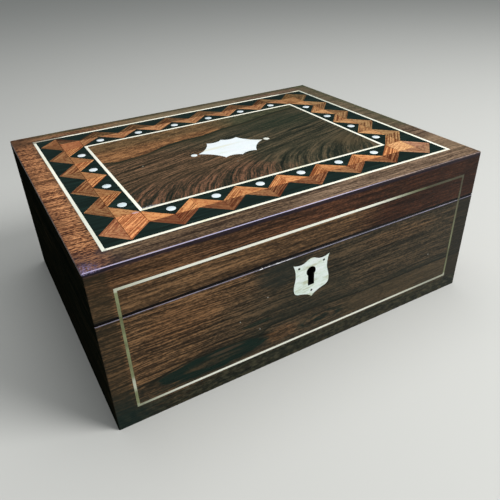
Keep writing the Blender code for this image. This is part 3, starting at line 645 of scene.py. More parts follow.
def front_rosewood():
    """Front of base and lid: fine level grain, with the dark long knots low down on the base."""
    material, web, shader = start("front_rosewood", specular=0.08)
    x, y, z = web.object_place()
    ragged = web.noise((x * 70.0, y * 60.0, z * 300.0), 3.0, 0.6) - 0.5
    drift = web.noise((x * 11.0, y, z * 26.0), 2.0) - 0.5

    def knot(centre_x, centre_z, half_x, half_z):
        return web.length((x - centre_x) / half_x, (z - centre_z) / half_z)

    long_knot = knot(-0.0805, 0.0256, 0.0410, 0.0076)
    swirl = knot(0.0065, 0.0245, 0.0195, 0.0050)
    pull = web.rise(long_knot, 2.6, 0.7) * 0.30 + web.rise(swirl, 2.4, 0.6) * 0.25
    grain = web.effect(GRAIN, Along=x, Across=z - (z - 0.025) * pull, Depth=y, Seed=3.7)
    left = web.rise(x + drift * 0.10, 0.0, -0.06)
    on_lid = web.rise(z, BASE_TOP - 0.0001, LID_LOW)
    shade = figure(web, grain, lines=1.0, streaks=0.24, fibres=0.60, flecks=0.62)
    shade = (shade + (grain["Rings"] - 0.5) * left * 0.07 - 0.5) * (1.0 - on_lid * 0.26) + 0.5

    brown = web.shades(shade, (36, 27, 18), (78, 59, 40), (138, 104, 71))
    dull = web.shades(shade, (24, 24, 18), (50, 46, 35), (88, 73, 54))
    red = web.shades(shade, (24, 13, 8), (55, 32, 22), (104, 62, 42))
    warm = web.shades(shade, (48, 33, 20), (92, 66, 43), (146, 104, 68))
    # Duller and greener toward the lower right of the base: partly the wood's own tone, partly a painted
    # reflection of green surroundings.
    to_right = web.rise(x + drift * 0.10 + (0.070 - z) * 0.9, -0.068, -0.022) * (1.0 - on_lid)
    coat = Coat(web, web.blend(to_right * 0.92, brown, dull))
    pale = web.rise(knot(-0.097, 0.068, 0.030, 0.016) + drift * 1.2, 1.2, 0.4)
    coat.lay(pale * 0.55, warm)
    pale = web.rise(knot(0.076, 0.074, 0.040, 0.009) + ragged * 0.8, 1.2, 0.4)
    coat.lay(pale * 0.4, brown)
    high = web.rise(z + drift * 0.004, FRONT_STRING_HIGH - 0.002, FRONT_STRING_HIGH)
    high = high * (web.rise(x, -0.130, 0.040) * 0.65 + 0.30)
    far = web.rise(x + drift * 0.08, 0.020, 0.085)
    coat.lay(on_lid * web.math("MAXIMUM", high, far) * 0.95, red)
    coat.lay(on_lid * far * 0.35, tone(30, 10, 4))
    glow = web.rise(z, FRONT_STRING_HIGH - 0.001, FRONT_STRING_HIGH + 0.001)
    glow = glow * web.rise(x + drift * 0.1, -0.080, -0.110)
    coat.lay(glow * 0.40, warm)

    # Dull patches round the shield
    teal = tone(8, 32, 26)
    by_shield = web.rise(knot(-0.030, 0.076, 0.021, 0.012) + ragged * 0.9, 1.15, 0.5)
    coat.lay(by_shield * 0.72, tone(34, 40, 35))
    under = web.rise(knot(0.000, 0.050, 0.045, 0.016) + ragged * 0.9, 1.2, 0.3)
    coat.lay(under * 0.40, tone(37, 42, 34))
    streak = web.rise(knot(-0.048, 0.0425, 0.012, 0.0020) + ragged * 0.9, 1.2, 0.6)
    coat.lay(streak * 0.7, teal)

    # The long dark knot low on the left, its paler lens and its tail
    near_knot = web.rise(long_knot + ragged * 0.4, 1.55, 1.05)
    coat.lay(near_knot * 0.45, tone(40, 40, 30))
    core = web.rise(knot(-0.0800, 0.0250, 0.0240, 0.0030) + ragged * 0.8, 0.65, 1.15)
    inside = web.rise(long_knot + ragged * 0.5, 1.05, 0.92)
    coat.lay(inside * (core * 0.36 + 0.58), teal)
    foot = web.rise(knot(-0.0960, 0.0178, 0.0340, 0.0034) + ragged * 0.8, 1.2, 0.5)
    coat.lay(foot * 0.60, teal)
    lens = web.rise(knot(-0.0715, 0.0302, 0.0155, 0.0016) + ragged * 0.5, 1.1, 0.6)
    coat.lay(lens * 0.55, tone(84, 68, 52))
    over = web.rise(z, 0.024, 0.028)
    rim = web.near(long_knot + ragged * 0.2 - 1.10, 0.13, 0.03) * over
    coat.lay(rim * 0.85, tone(18, 22, 15))
    tail = z - 0.0288 - (x + 0.132) * 0.125 + ragged * 0.0008
    tail = web.near(tail, 0.0009, 0.0002) * web.rise(x, -0.102, -0.112)
    coat.lay(tail * web.rise(x, -0.142, -0.134) * 0.8, tone(20, 22, 15))

    # The dark line that runs on from the knot, and the swirl below it
    crest = z - 0.0290 - web.rise(x, -0.052, -0.033) * 0.0072 + web.rise(x, -0.005, 0.050) * 0.0030
    crest = crest + ragged * 0.0014
    begun = web.rise(x, -0.053, -0.046)
    dusk = web.rise(crest, 0.009, 0.001) * web.rise(crest, -0.0006, 0.0006) * begun
    coat.lay(dusk * 0.60, tone(28, 34, 27))
    line = web.near(crest, 0.0012, 0.0003) * begun
    coat.lay(line * 0.85, tone(18, 24, 18))
    below = web.rise(crest, 0.0, -0.0015)
    patch = web.rise(knot(-0.028, 0.0250, 0.0165, 0.0080) + ragged * 0.9, 1.1, 0.5)
    coat.lay(patch * (1.0 - inside) * 0.42, warm)
    plain = web.rise(x + drift * 0.02, 0.020, 0.034) * below * web.rise(z, 0.010, 0.014)
    coat.lay(plain * 0.45, tone(75, 64, 46))
    loops = web.rise(web.math("SINE", swirl * 8.0 + ragged * 9.0), -0.2, 0.7)
    coat.lay(loops * web.rise(swirl + ragged * 0.9, 1.2, 0.8) * 0.75, teal)
    arc = web.near(knot(0.048, 0.0255, 0.018, 0.0080) + ragged * 0.2 - 1.0, 0.12, 0.02)
    coat.lay(arc * below * 0.35, tone(34, 32, 23))
    coat.lay(grain["Pores"] * 0.7, tone(20, 15, 10))

    # Outside the string: both ends, painted shade with a dark green painted reflection at the foot and the
    # lower left corner, and the painted shadow below the top
    margin = HALF_X - FRONT_STRING_SIDE
    clouds = web.noise((x * 170.0, 0.0, z * 330.0), 3.0, 0.6)
    foot_shade_tones = web.shades(clouds, (11, 19, 14), (31, 37, 27), (66, 65, 49), at=(0.36, 0.50, 0.64))
    at_left = web.rise(x + drift * 0.004, -margin + 0.001, -margin - 0.004)
    coat.lay(at_left * (web.rise(z, 0.046, 0.022) * 0.15 + 0.58), tone(40, 37, 25))
    right_end = web.rise(x + drift * 0.004, margin - 0.004, margin + 0.002)
    coat.lay(right_end * (1.0 - on_lid) * 0.75, tone(28, 28, 22))
    coat.lay(right_end * on_lid * 0.45, tone(30, 14, 8))
    # Painted shade and green reflection along the foot, below the lower string.
    foot_shade = web.rise(z + drift * 0.004, FRONT_STRING_LOW + 0.0008, FRONT_STRING_LOW - 0.0030)
    coat.lay(foot_shade * 0.75, foot_shade_tones)
    # Painted dark blue-green shade at the lower left corner.
    corner = web.rise(web.length(x + HALF_X, (z - 0.002) * 1.2) + drift * 0.03, 0.044, 0.010)
    coat.lay(corner * 0.75, tone(15, 34, 31))
    shadowed = web.rise(z + drift * 0.002, 0.1172, 0.1192)
    coat.lay(shadowed * 0.85, tone(25, 22, 36))

    # The seam: painted shade in and just below the gap, a painted highlight on the base's edge below it,
    # its worn nicks painted brighter as highlights, and a few light specks
    # The painted shade in the gap is deepest round this x.
    from_deepest_shade = web.math("ABSOLUTE", x + 0.017)
    lip = LID_LOW + 0.0012 + web.rise(from_deepest_shade, 0.050, 0.024) * 0.0004 + ragged * 0.0005
    gap = web.math("LESS_THAN", z, lip) * web.rise(z, BASE_TOP - 0.0007, BASE_TOP - 0.0005)
    gap = gap * web.rise(HALF_Y - web.math("ABSOLUTE", y), 0.0016, 0.0010)
    coat.lay(gap * 0.97, tone(4, 4, 6))
    # Noise that sets the worn nicks and how strong the painted highlight is along the edge.
    worn = web.noise((x * 240.0, 0.0, z * 500.0), 3.0, 0.7)
    # Painted highlight on the base's upper arris, a pale lilac reflection.
    sheen = web.rise(z, BASE_TOP - 0.0013, BASE_TOP - 0.0011)
    sheen = sheen * web.rise(z, BASE_TOP - 0.0006, BASE_TOP - 0.0007)
    lit = web.rise(x, -0.150, -0.040) * 0.22 + 0.26 - web.rise(x, 0.118, 0.134) * 0.22
    nick_highlight = web.near(x + 0.034, 0.018, 0.008) * web.rise(worn, 0.44, 0.54)
    coat.lay(sheen * (web.rise(worn, 0.30, 0.62) * 0.30 + lit), tone(170, 166, 188))
    coat.lay(sheen * nick_highlight, tone(252, 250, 252))
    for speck_x, speck_z in ((-0.0383, 0.0607), (-0.0597, 0.0488), (-0.0450, 0.0365), (0.1110, 0.0430)):
        spot = web.rise(web.length(x - speck_x, z - speck_z), 0.0005, 0.0002)
        coat.lay(spot * 0.7, tone(206, 210, 204))
    finish_wood(web, shader, coat.colour, (x, y, z), grain, 0.27)
    return material


def side_rosewood(name, specular, *tones):
    """A side of base and lid, with the grain running front to back."""
    material, web, shader = start(name, specular=specular)
    x, y, z = web.object_place()
    grain = web.effect(GRAIN, Along=y, Across=z, Depth=x, Seed=11.3)
    shade = figure(web, grain)
    colour = web.ramp(shade, *zip((0.30, 0.50, 0.70), tones))
    colour = web.blend(grain["Pores"] * 0.7, colour, tones[0])
    # Painted shade: darker towards the foot.
    foot_shade = web.rise(z, 0.012, 0.001)
    colour = web.blend(foot_shade * 0.5, colour, tones[0])
    # Painted shade in the gap of the seam.
    gap = web.math("LESS_THAN", z, LID_LOW + 0.0009) * web.rise(z, BASE_TOP - 0.0001, LID_LOW)
    gap = gap * web.rise(HALF_X - web.math("ABSOLUTE", x), 0.0016, 0.0010)
    colour = web.blend(gap * 0.9, colour, tone(6, 6, 6))
    finish_wood(web, shader, colour, (x, y, z), grain, 0.30)
    return material


def border_rosewood():
    """Border of the lid's top: one sheet with its grain along the front, rubbed at its arrises."""
    material, web, shader = start("border_rosewood", specular=0.14)
    x, y, z = web.object_place()
    grain = web.effect(GRAIN, Along=x, Across=y, Depth=z, Seed=21.9)
    shade = figure(web, grain, rings=0.05, lines=1.05, streaks=0.42, fibres=0.70, flecks=0.75)
    rough = figure(web, grain, rings=0.05, lines=1.55, streaks=0.32, fibres=1.0, flecks=1.5)
    warm = web.shades(rough, (44, 22, 14), (122, 76, 50), (214, 152, 104), at=(0.28, 0.49, 0.70))
    brown = web.shades(shade, (32, 24, 19), (68, 53, 41), (120, 97, 74))
    pale = web.shades(shade, (56, 45, 34), (99, 80, 65), (150, 125, 102))
    drift = web.noise((x * 16.0, y * 24.0, 0.0), 2.0) - 0.5
    # Lighter toward the right: a painted sheen.
    coat = Coat(web, web.blend(web.rise(x + drift * 0.10, -0.050, 0.020) * 0.85, brown, pale))

    # The redder left side, then the back, and the right side with its painted dull green reflection
    at_left = web.rise(x + drift * 0.008, -HALF_X + 0.021, -HALF_X + 0.010)
    coat.lay(at_left, warm)
    at_back = web.rise(y, HALF_Y - 0.022, HALF_Y - 0.012) * web.rise(x + drift * 0.06, 0.0, -0.08)
    coat.lay(at_back * (1.0 - at_left) * 0.35, warm)
    outermost = web.rise(x + drift * 0.006, -HALF_X + 0.009, -HALF_X + 0.002)
    coat.lay(outermost * 0.30, tone(72, 42, 28))
    coat.lay(web.rise(y + drift * 0.03, 0.078, 0.104) * at_left * 0.55, tone(72, 52, 36))
    middle = web.near(y + drift * 0.03 - 0.018, 0.028, 0.006)
    coat.lay(middle * at_left * 0.10, tone(196, 142, 96))
    low = web.near(y + drift * 0.03 + 0.058, 0.020, 0.006)
    coat.lay(low * at_left * 0.25, tone(70, 42, 28))
    far_back = web.rise(y + drift * 0.004, HALF_Y - 0.009, HALF_Y - 0.004)
    coat.lay(far_back * (1.0 - at_left) * 0.60, tone(62, 68, 45))
    inner_back = web.rise(y, HALF_Y - 0.020, HALF_Y - 0.014) * (1.0 - far_back)
    inner_back = inner_back * web.near(x + drift * 0.06, 0.085, 0.030)
    coat.lay(inner_back * 0.42, tone(150, 138, 108))
    back_corner = web.rise(web.length(x + HALF_X, y - HALF_Y) + drift * 0.02, 0.034, 0.010)
    coat.lay(back_corner * 0.50, tone(62, 48, 34))
    # Painted reflection: dull green on the right side of the border.
    at_right = web.rise(x, HALF_X - 0.020, HALF_X - 0.012)
    coat.lay(at_right * web.rise(y + drift * 0.05, -0.052, -0.030) * 0.40, tone(70, 78, 56))
    outer_right = web.rise(x + drift * 0.004, HALF_X - 0.008, HALF_X - 0.003) * web.rise(y, -0.052, -0.030)
    coat.lay(outer_right * 0.30, tone(48, 70, 46))
    bright = web.near(y + drift * 0.03 + 0.084, 0.022, 0.008)
    coat.lay(at_right * bright * 0.20, tone(172, 148, 116))
    coat.lay(grain["Pores"] * 0.75, tone(34, 22, 16))

    # The dull front left corner, the rubbed left arris with its painted highlight, the painted shade below
    # the top, the lit front edge as a painted highlight, and scuffs with a painted bluish highlight
    corner = web.length(x + HALF_X, y + HALF_Y) + drift * 0.012
    coat.lay(web.rise(corner, 0.030, 0.012) * 0.62, tone(40, 35, 42))
    inner_corner = web.length(x + HALF_X - OUTER_INSET, y + HALF_Y - OUTER_INSET)
    coat.lay(web.rise(inner_corner, 0.006, 0.002) * 0.6, tone(34, 36, 44))
    arris = web.effect(ARRIS, X=x, Y=y, Z=z, Top=LID_TOP, Width=0.0016)
    # The left arris: rubbed lighter, with a painted pinkish highlight.
    left_edge = web.rise(x, -HALF_X + 0.0022, -HALF_X + 0.0006)
    coat.lay(left_edge * arris["Rub"] * 0.55, tone(178, 136, 118))
    # Painted shade on the edge just below the top.
    below = web.rise(z, LID_TOP - 0.0004, LID_TOP - 0.0007)
    coat.lay(below * 0.9, tone(24, 20, 32))
    front = y + HALF_Y
    lit = web.rise(front, 0.00010, 0.00020) * web.rise(front, 0.00065, 0.00040)
    lit = lit * (web.rise(x + drift * 0.05, 0.085, 0.000) * 0.60 + 0.10)
    coat.lay(lit, tone(196, 190, 224))
    # Scuffs at the front left corner, painted with a bluish highlight.
    scuffs = web.noise((x * 900.0, y * 900.0, z * 900.0), 3.0, 0.7)
    lit_scuffs = web.rise(corner, 0.013, 0.003) * web.rise(scuffs, 0.44, 0.60)
    coat.lay(lit_scuffs * 0.75, tone(140, 128, 168))
    finish_wood(web, shader, coat.colour, (x, y, z), grain, 0.30)
    return material


def panel_rosewood():
    """Centre panel: a golden tongue at the back left, then dark figure that fans out to the front."""
    material, web, shader = start("panel_rosewood", specular=0.12)
    x, y, z = web.object_place()
    drift = web.noise((x * 18.0, y * 26.0, 0.0), 3.0, 0.55) - 0.5
    ragged = web.noise((x * 160.0, y * 420.0, 3.0), 3.0, 0.6) - 0.5
    rise = y + HALF_Y - INNER_INSET + drift * 0.006
    near = web.math("MINIMUM", web.math("MAXIMUM", rise, 0.0), 0.058)
    lean = rise * 0.5 + near * near * near * 400.0 + web.math("MAXIMUM", rise - 0.058, 0.0) * 4.0
    flow = (x - lean) * 0.42
    along = x * 0.7 + y * 0.7
    grain = web.effect(GRAIN, Along=along, Across=flow, Depth=z, Seed=5.3)
    level = web.effect(GRAIN, Along=x, Across=y - x * 0.26 + drift * 0.004, Depth=z, Seed=9.6)
    fan = figure(web, grain, rings=0.06, lines=1.10, streaks=0.30, fibres=0.60, flecks=0.45)
    slant = figure(web, level, rings=0.06, lines=1.25, streaks=0.34, fibres=0.60, flecks=0.60)
    share = web.rise(rise + drift * 0.02, 0.020, 0.054)
    shade = fan * (1.0 - share) + slant * share
    brown = web.shades(shade, (28, 27, 19), (72, 58, 42), (134, 102, 76))
    russet = web.shades(shade, (22, 30, 24), (64, 52, 39), (124, 88, 66))
    green = web.shades(shade, (26, 31, 24), (54, 54, 41), (92, 81, 61), at=(0.30, 0.50, 0.72))
    low = web.rise(rise + drift * 0.02, 0.044, 0.016)
    coat = Coat(web, web.blend(low, brown, russet))
    patches = web.noise((flow * 60.0, y * 30.0, 5.0), 2.0, 0.5)
    coat.lay(web.rise(patches, 0.56, 0.68) * low * 0.55, tone(22, 38, 36))
    to_right = web.rise(x + drift * 0.08 + web.rise(y, -0.008, 0.020) * 0.034, -0.014, 0.024)
    coat.lay(to_right * 0.92, green)
    pool = web.rise(web.length((x - 0.066) / 0.050, (y - 0.028) / 0.022) + drift * 0.8, 1.2, 0.3)
    coat.lay(pool * 0.50, tone(28, 44, 32))
    tan = web.rise(web.length((x - 0.084) / 0.016, (y + 0.040) / 0.018) + drift * 1.2, 1.2, 0.3)
    coat.lay(tan * 0.35, tone(100, 84, 60))

    # The golden tongue, above a brink that rises to the right
    brink = 0.0184 + (x + 0.085) * 0.2233 + web.rise(x, -0.085, -0.0985) * 0.0065
    hump = web.math("MULTIPLY", web.rise(x, -0.062, -0.042), web.rise(x, -0.006, -0.024))
    above = y - brink - hump * 0.0024 - web.math("SINE", x * 120.0) * 0.0009 - ragged * 0.0016
    dull = web.rise(y + drift * 0.012, 0.034, 0.052)
    dim = web.rise(x + drift * 0.03, 0.000, 0.036)
    coarse = figure(web, level, rings=0.03, lines=0.7, streaks=0.30, fibres=1.0, flecks=0.60)
    mottle = web.noise((x * 90.0, y * 170.0, 7.0), 3.0, 0.6)
    coarse = coarse + (mottle - 0.5) * 0.55
    golden = web.shades(coarse, (66, 42, 27), (116, 80, 51), (176, 126, 82))
    olive = web.shades(coarse, (48, 39, 25), (86, 69, 45), (126, 102, 70), at=(0.32, 0.50, 0.68))
    dark_olive = web.shades(coarse, (38, 44, 30), (58, 62, 44), (88, 82, 60), at=(0.32, 0.50, 0.68))
    tongue = web.blend(dull * 0.85, golden, olive)
    tongue = web.blend(dim, tongue, dark_olive)
    fold = web.rise(above, -0.016, -0.002) * web.rise(above, 0.001, 0.0)
    coat.lay(fold * web.rise(x, -0.070, -0.030) * 0.55, tone(44, 50, 36))
    shadow = web.rise(above, -0.0090, -0.0015) * 0.80
    coat.lay(shadow, tone(30, 35, 24))
    thread = web.near(above + 0.0042 + ragged * 0.001, 0.0010, 0.0003)
    coat.lay(thread * 0.40, tone(78, 66, 46))
    coat.lay(web.rise(above, -0.0004, 0.0006), tongue)
    coat.lay(grain["Pores"] * 0.6, tone(20, 19, 13))

    # Light specks, and crumbs at the front left corner
    specks = (-0.0739, 0.0002, 0.0007), (-0.0107, -0.0305, 0.0006), (-0.0330, 0.0500, 0.0005)
    for speck_x, speck_y, size in specks:
        spot = web.rise(web.length(x - speck_x, y - speck_y), size, size * 0.5)
        coat.lay(spot * 0.7, tone(186, 184, 166))
    crumbs = web.noise((x * 1100.0, y * 1500.0, 0.0), 2.0, 0.7)
    frayed = web.length((x + 0.0925) / 0.0080, (y + 0.0640) / 0.0016)
    frayed = web.rise(frayed, 1.1, 0.3) * web.rise(crumbs, 0.50, 0.58)
    coat.lay(frayed * 0.85, tone(214, 216, 226))
    finish_wood(web, shader, coat.colour, (x, y, z), grain, 0.27)
    return material


def tile_wood():
    """Light marquetry tiles: each has its own grain direction, tone and strength of stripe."""
    material, web, shader = start("striped_tile_wood", specular=0.10)
    x, y, z = web.object_place()
    along, across = web.uv_place("grain")
    grain = web.effect(GRAIN, Along=along, Across=across, Depth=0.0, Seed=1.0)
    own, stripe = web.attribute("tile_tone"), web.attribute("tile_stripe")

    def tinted(*tint):
        """The tile's own tone, darkened by a tint."""
        return web.blend(1.0, own, tone(*tint), "MULTIPLY")

    fine = figure(web, grain, rings=0.0, lines=0.7, streaks=0.45, fibres=0.8, flecks=0.45)
    lighter = web.blend(0.34, own, tone(255, 206, 140))
    coat = Coat(web, web.blend(web.rise(fine, 0.50, 0.30), own, tinted(166, 136, 120)))
    coat.lay(web.rise(fine, 0.50, 0.72) * 0.7, lighter)
    bands = web.noise((along * 26.0, across * 1000.0, 4.0), 1.0, 0.4)
    dark_bands = web.rise(bands, 0.46, 0.56)
    mottle = web.noise((x * 420.0, y * 420.0, 9.0), 3.0, 0.65)
    reddened = tinted(186, 136, 132)
    coat.lay(web.rise(mottle, 0.50, 0.66) * 0.75, reddened)
    near_left = web.rise(x, -0.030, -0.080) * web.rise(y, -HALF_Y + 0.0345, -HALF_Y + 0.0335)
    near_left = near_left * web.rise(x, -HALF_X + 0.049, -HALF_X + 0.050)
    coat.lay(near_left * 0.55, reddened)
    coat.lay(dark_bands * stripe * 0.9, tinted(132, 92, 76))
    coat.lay(grain["Pores"] * 0.55, tone(58, 30, 18))
    crumbs = web.noise((x * 800.0, y * 800.0, 0.0), 3.0, 0.7) - 0.5
    chip = web.length((x + 0.1035) / 0.0030, (y + 0.0670) / 0.0012) + crumbs * 1.6
    coat.lay(web.rise(chip, 1.0, 0.6) * 0.8, tone(206, 172, 178))
    finish_wood(web, shader, coat.colour, (x, y, z), grain, 0.30)
    return material


def ebony():
    """Greenish black ebony with hardly any grain."""
    material, web, shader = start("ebony", specular=0.15)
    x, y, z = web.object_place()
    grain = web.effect(GRAIN, Along=x, Across=y, Depth=z, Seed=8.1)
    colour = web.shades(grain["Lines"], (11, 22, 18), (18, 34, 30), (36, 54, 48), at=(0.35, 0.55, 0.75))
    finish_wood(web, shader, colour, (x, y, z), grain, 0.28, relief=0.15)
    return material


def plain_wood(name, along_axis, across_axis, seed, dark, light):
    """Inside and underside: plain wood with an old thin finish."""
    material, web, shader = start(name, specular=0.3)
    place = web.object_place()
    depth = place[3 - along_axis - across_axis]
    grain = web.effect(GRAIN, Along=place[along_axis], Across=place[across_axis], Depth=depth, Seed=seed)
    mixed = grain["Streaks"] * 0.45 + grain["Lines"] * 0.45 + (grain["Fibres"] - 0.5) * 0.4
    colour = web.ramp(mixed, (0.32, dark), (0.66, light))
    colour = web.blend(grain["Pores"] * 0.6, colour, tone(52, 30, 18))
    finish_wood(web, shader, colour, place, grain, 0.52, relief=0.4)
    return material


def pearl(name, cream, milk, seed, layered=(22.0, 190.0, 190.0), roughness=0.22):
    """Mother-of-pearl: milky layers with faint green, blue and rose in them."""
    material, web, shader = start(name, specular=0.3, coat=0.1)
    x, y, z = place = web.object_place()
    layers = web.noise([axis * scale + seed for axis, scale in zip(place, layered)], 3.0, 0.6)
    clouds = web.noise((x * 150.0, y * 150.0 + seed, z * 150.0), 3.0, 0.6)
    mottle = web.noise((x * 600.0, y * 900.0 + seed, z * 900.0), 3.0, 0.65)
    coat = Coat(web, web.ramp(layers, (0.34, cream), (0.46, milk), (0.72, tone(240, 246, 248))))
    coat.lay(web.rise(clouds, 0.52, 0.72) * 0.24, tone(208, 232, 224))
    coat.lay(web.rise(clouds, 0.42, 0.28) * 0.16, tone(242, 226, 230))
    coat.lay(web.rise(mottle, 0.52, 0.36) * 0.20, cream)
    surface(web, shader, coat.colour, layers * 0.16 + (roughness - 0.08), mottle, 0.10, 0.00006)
    return material


def white_metal(name, bright, dull, seed, overlays, metallic, roughness):
    """String metal: pale where it is rubbed, dull where it isn't; overlays gives its further layers of
    tarnish and painted light.
    """
    material, web, shader = start(name, metallic=metallic, specular=0.4)
    x, y, z = web.object_place()
    tarnish = web.noise((x * 45.0 + seed, y * 45.0, z * 45.0), 4.0, 0.6)
    specks = web.rise(web.noise((x * 800.0, y * 800.0, z * 800.0), 2.0), 0.62, 0.72)
    coat = Coat(web, web.ramp(tarnish, (0.34, dull), (0.50, bright)))
    coat.lay(specks * 0.35, dull)
    for share, colour in overlays(web, x, y, z):
        coat.lay(share, colour)
    rough = roughness + (0.5 - tarnish) * 0.25
    surface(web, shader, coat.colour, rough, tarnish + specks * -0.4, 0.2)
    return material


def top_string_tarnish_and_shade(web, x, y, z):
    """Dull with tarnish in two places at the back, and painted a little duller at both sides, as shade."""
    worn = web.math("MAXIMUM", web.rise(x, -0.108, -0.114), web.near(x - 0.117, 0.011, 0.007))
    left = web.rise(x, -0.131, -0.132) * web.rise(y, 0.030, -0.060)
    right = web.rise(x, 0.131, 0.132) * web.rise(y, -0.070, 0.090)
    return [
        (web.rise(y, 0.095, 0.097) * worn * 0.68, tone(112, 98, 76)),
        (left * 0.36, tone(140, 154, 146)),
        (right * 0.42, tone(140, 152, 132)),
    ]


def front_string_light(web, x, y, z):
    """Painted highlight, cream where the front strings catch the light, and painted shade at the right,
    darkened to the wood's tone.
    """
    upper = web.rise(z, 0.1025, 0.1040) * web.rise(x, 0.094, 0.036) * web.rise(x, -0.175, -0.085)
    lower = web.rise(z, FRONT_STRING_LOW + 0.004, FRONT_STRING_LOW + 0.002)
    lower = lower * web.rise(x, -0.150, -0.090) * (web.rise(x, 0.150, 0.020) * 0.62 + 0.38)
    foot = web.near(z - 0.033, 0.008, 0.002) * web.rise(x, -0.10, -0.13) * 0.45
    caught = web.math("MAXIMUM", web.math("MAXIMUM", upper, lower), foot)
    # Painted shade toward the right.
    shaded_right = web.rise(x, 0.055, 0.110) * (web.rise(z, 0.040, 0.100) * 0.45 + 0.40) * (1.0 - lower)
    return [(caught * 0.96, tone(252, 252, 238)), (shaded_right, tone(58, 52, 38))]


def old_brass():
    """Lock and hinge brass with brown tarnish, and painted shade where it shows through the keyhole."""
    material, web, shader = start("old_brass", metallic=0.9)
    x, y, z = web.object_place()
    stain = web.noise((x * 90.0 + 3.0, y * 90.0, z * 90.0), 5.0, 0.62)
    brushed = web.noise((x * 300.0, y * 5000.0, z * 5000.0), 2.0)
    colour = web.shades(stain + (brushed - 0.5) * 0.1, (92, 66, 34), (178, 140, 78), (206, 172, 104),
                        at=(0.34, 0.52, 0.68))
    # Painted shade on the lock behind the keyhole.
    keyhole = web.rise(web.length(x - CROWN.x, z - CROWN.z + 0.015), 0.016, 0.014)
    keyhole = keyhole * web.rise(y, CROWN.y + WALL - 0.0006, CROWN.y + WALL - 0.0010)
    colour = web.blend(keyhole, colour, tone(12, 11, 9))
    surface(web, shader, colour, 0.62 - stain * 0.45, brushed + stain * 0.5, 0.25)
    return material


def spotted(name, dark, light, scale, roughness, relief, metallic=0.0, specular=0.5):
    """Dark steel, or the painted shade of holes and slots: fine spots between two tones."""
    material, web, shader = start(name, metallic=metallic, specular=specular)
    spots = web.noise([axis * scale for axis in web.object_place()], 3.0, 0.6)
    colour = web.ramp(spots, (0.35, dark), (0.70, light))
    surface(web, shader, colour, roughness + spots * 0.3, spots, relief)
    return material


# Walls and lid


FRONT_WOOD = front_rosewood()
# The left side: the same rosewood as the right, painted far darker and greener as shade and reflection.
LEFT_WOOD = side_rosewood("left_rosewood", 0.0, tone(6, 12, 9), tone(18, 22, 16), tone(44, 38, 28))
RIGHT_WOOD = side_rosewood("right_rosewood", 0.16, tone(30, 21, 15), tone(64, 46, 33), tone(110, 78, 54))
BORDER_WOOD = border_rosewood()
PANEL_WOOD = panel_rosewood()
TILE_WOOD = tile_wood()
EBONY = ebony()
INSIDE_TONES = tone(78, 46, 28), tone(136, 88, 56)
INNER_X_WOOD = plain_wood("inside_wood_lengthwise", 0, 2, 2.2, *INSIDE_TONES)
INNER_Y_WOOD = plain_wood("inside_wood_crosswise", 1, 2, 6.1, *INSIDE_TONES)
BOARD_WOOD = plain_wood("board_wood", 0, 1, 9.4, tone(84, 50, 30), tone(148, 98, 62))
BRASS = old_brass()
STEEL = spotted("dark_steel", tone(38, 32, 28), tone(96, 90, 82), 900.0, 0.35, 0.3, metallic=0.8)
HOLE_SHADE = spotted("hole_shade", tone(10, 12, 10), tone(34, 32, 26), 1200.0, 0.6, 0.4, specular=0.1)
DOT_PEARL = pearl("dot_pearl", tone(196, 214, 218), tone(222, 232, 236), 2.0)
CARTOUCHE_PEARL = pearl("cartouche_pearl", tone(228, 230, 216), tone(232, 240, 244), 6.0)
SHIELD_PEARL = pearl("shield_pearl", tone(186, 192, 164), tone(220, 234, 224), 12.0,
                     (60.0, 60.0, 240.0), 0.28)
TOP_METAL_LONG = white_metal("top_string_metal", tone(253, 250, 232), tone(238, 236, 208), 1.0,
                             top_string_tarnish_and_shade, 0.0, 0.36)
TOP_METAL_CROSS = white_metal("top_string_metal_cross", tone(249, 248, 232), tone(232, 234, 212), 7.0,
                              top_string_tarnish_and_shade, 0.0, 0.36)
# The front strings' metal: the same white metal as the top's, painted darker and greener as shade and
# reflection.
FRONT_METAL = white_metal("front_string_metal", tone(136, 142, 104), tone(100, 104, 70), 4.0,
                          front_string_light, 0.35, 0.38)


FRONT_Y = -HALF_Y
FRONT_INNER_Y = FRONT_Y + WALL
SHIELD_DEPTH = 0.0012

# Housings of the lock, of its front plate and of the hinges
LOCK_X = middle_of("box_lock").x
LOCK_HALF, LOCK_DROP = 0.0201, 0.0341
LOCK_PLATE_HALF, LOCK_PLATE_DROP = 0.0271, 0.0016
LOCK_INTO_WALL = 0.0063
HINGE_PLACES = (-0.085, 0.085)
HINGE_HALF = 0.019
HINGE_Y = HALF_Y + 0.0008
HINGE_Z = (BASE_TOP + LID_LOW) / 2
LEAF_REACH, LEAF_DROP = 0.0083, 0.0017
BARREL_ROOM = 0.0026


def at_keyhole(place):
    """Whether a place on the front lies at the keyhole."""
    offset = place - CROWN
    return abs(offset.x) < 0.0055 and -0.0225 < offset.z < -0.0055


def set_wall_finishes(made):
    """Outer faces, rims and undersides take the wood of their side; the inside is plain wood."""
    set_finishes(made, [FRONT_WOOD, LEFT_WOOD, RIGHT_WOOD, INNER_X_WOOD, INNER_Y_WOOD, HOLE_SHADE])
    for face in made.data.polygons:
        centre, normal = face.center, face.normal
        inside = abs(centre.x) < HALF_X - WALL / 2 and abs(centre.y) < HALF_Y - WALL / 2
        along_x = abs(normal.y) > abs(normal.x)
        side = 1 if centre.x < 0 else 2
        # Walls of the keyhole take painted shade.
        if at_keyhole(centre) and centre.y < FRONT_INNER_Y and abs(normal.y) < 0.5:
            face.material_index = 5
        elif abs(normal.z) > 0.9:
            long_side = HALF_Y - abs(centre.y) < HALF_X - abs(centre.x)
            face.material_index = 0 if long_side else side
        elif inside:
            face.material_index = 3 if along_x else 4
        else:
            face.material_index = 0 if along_x else side


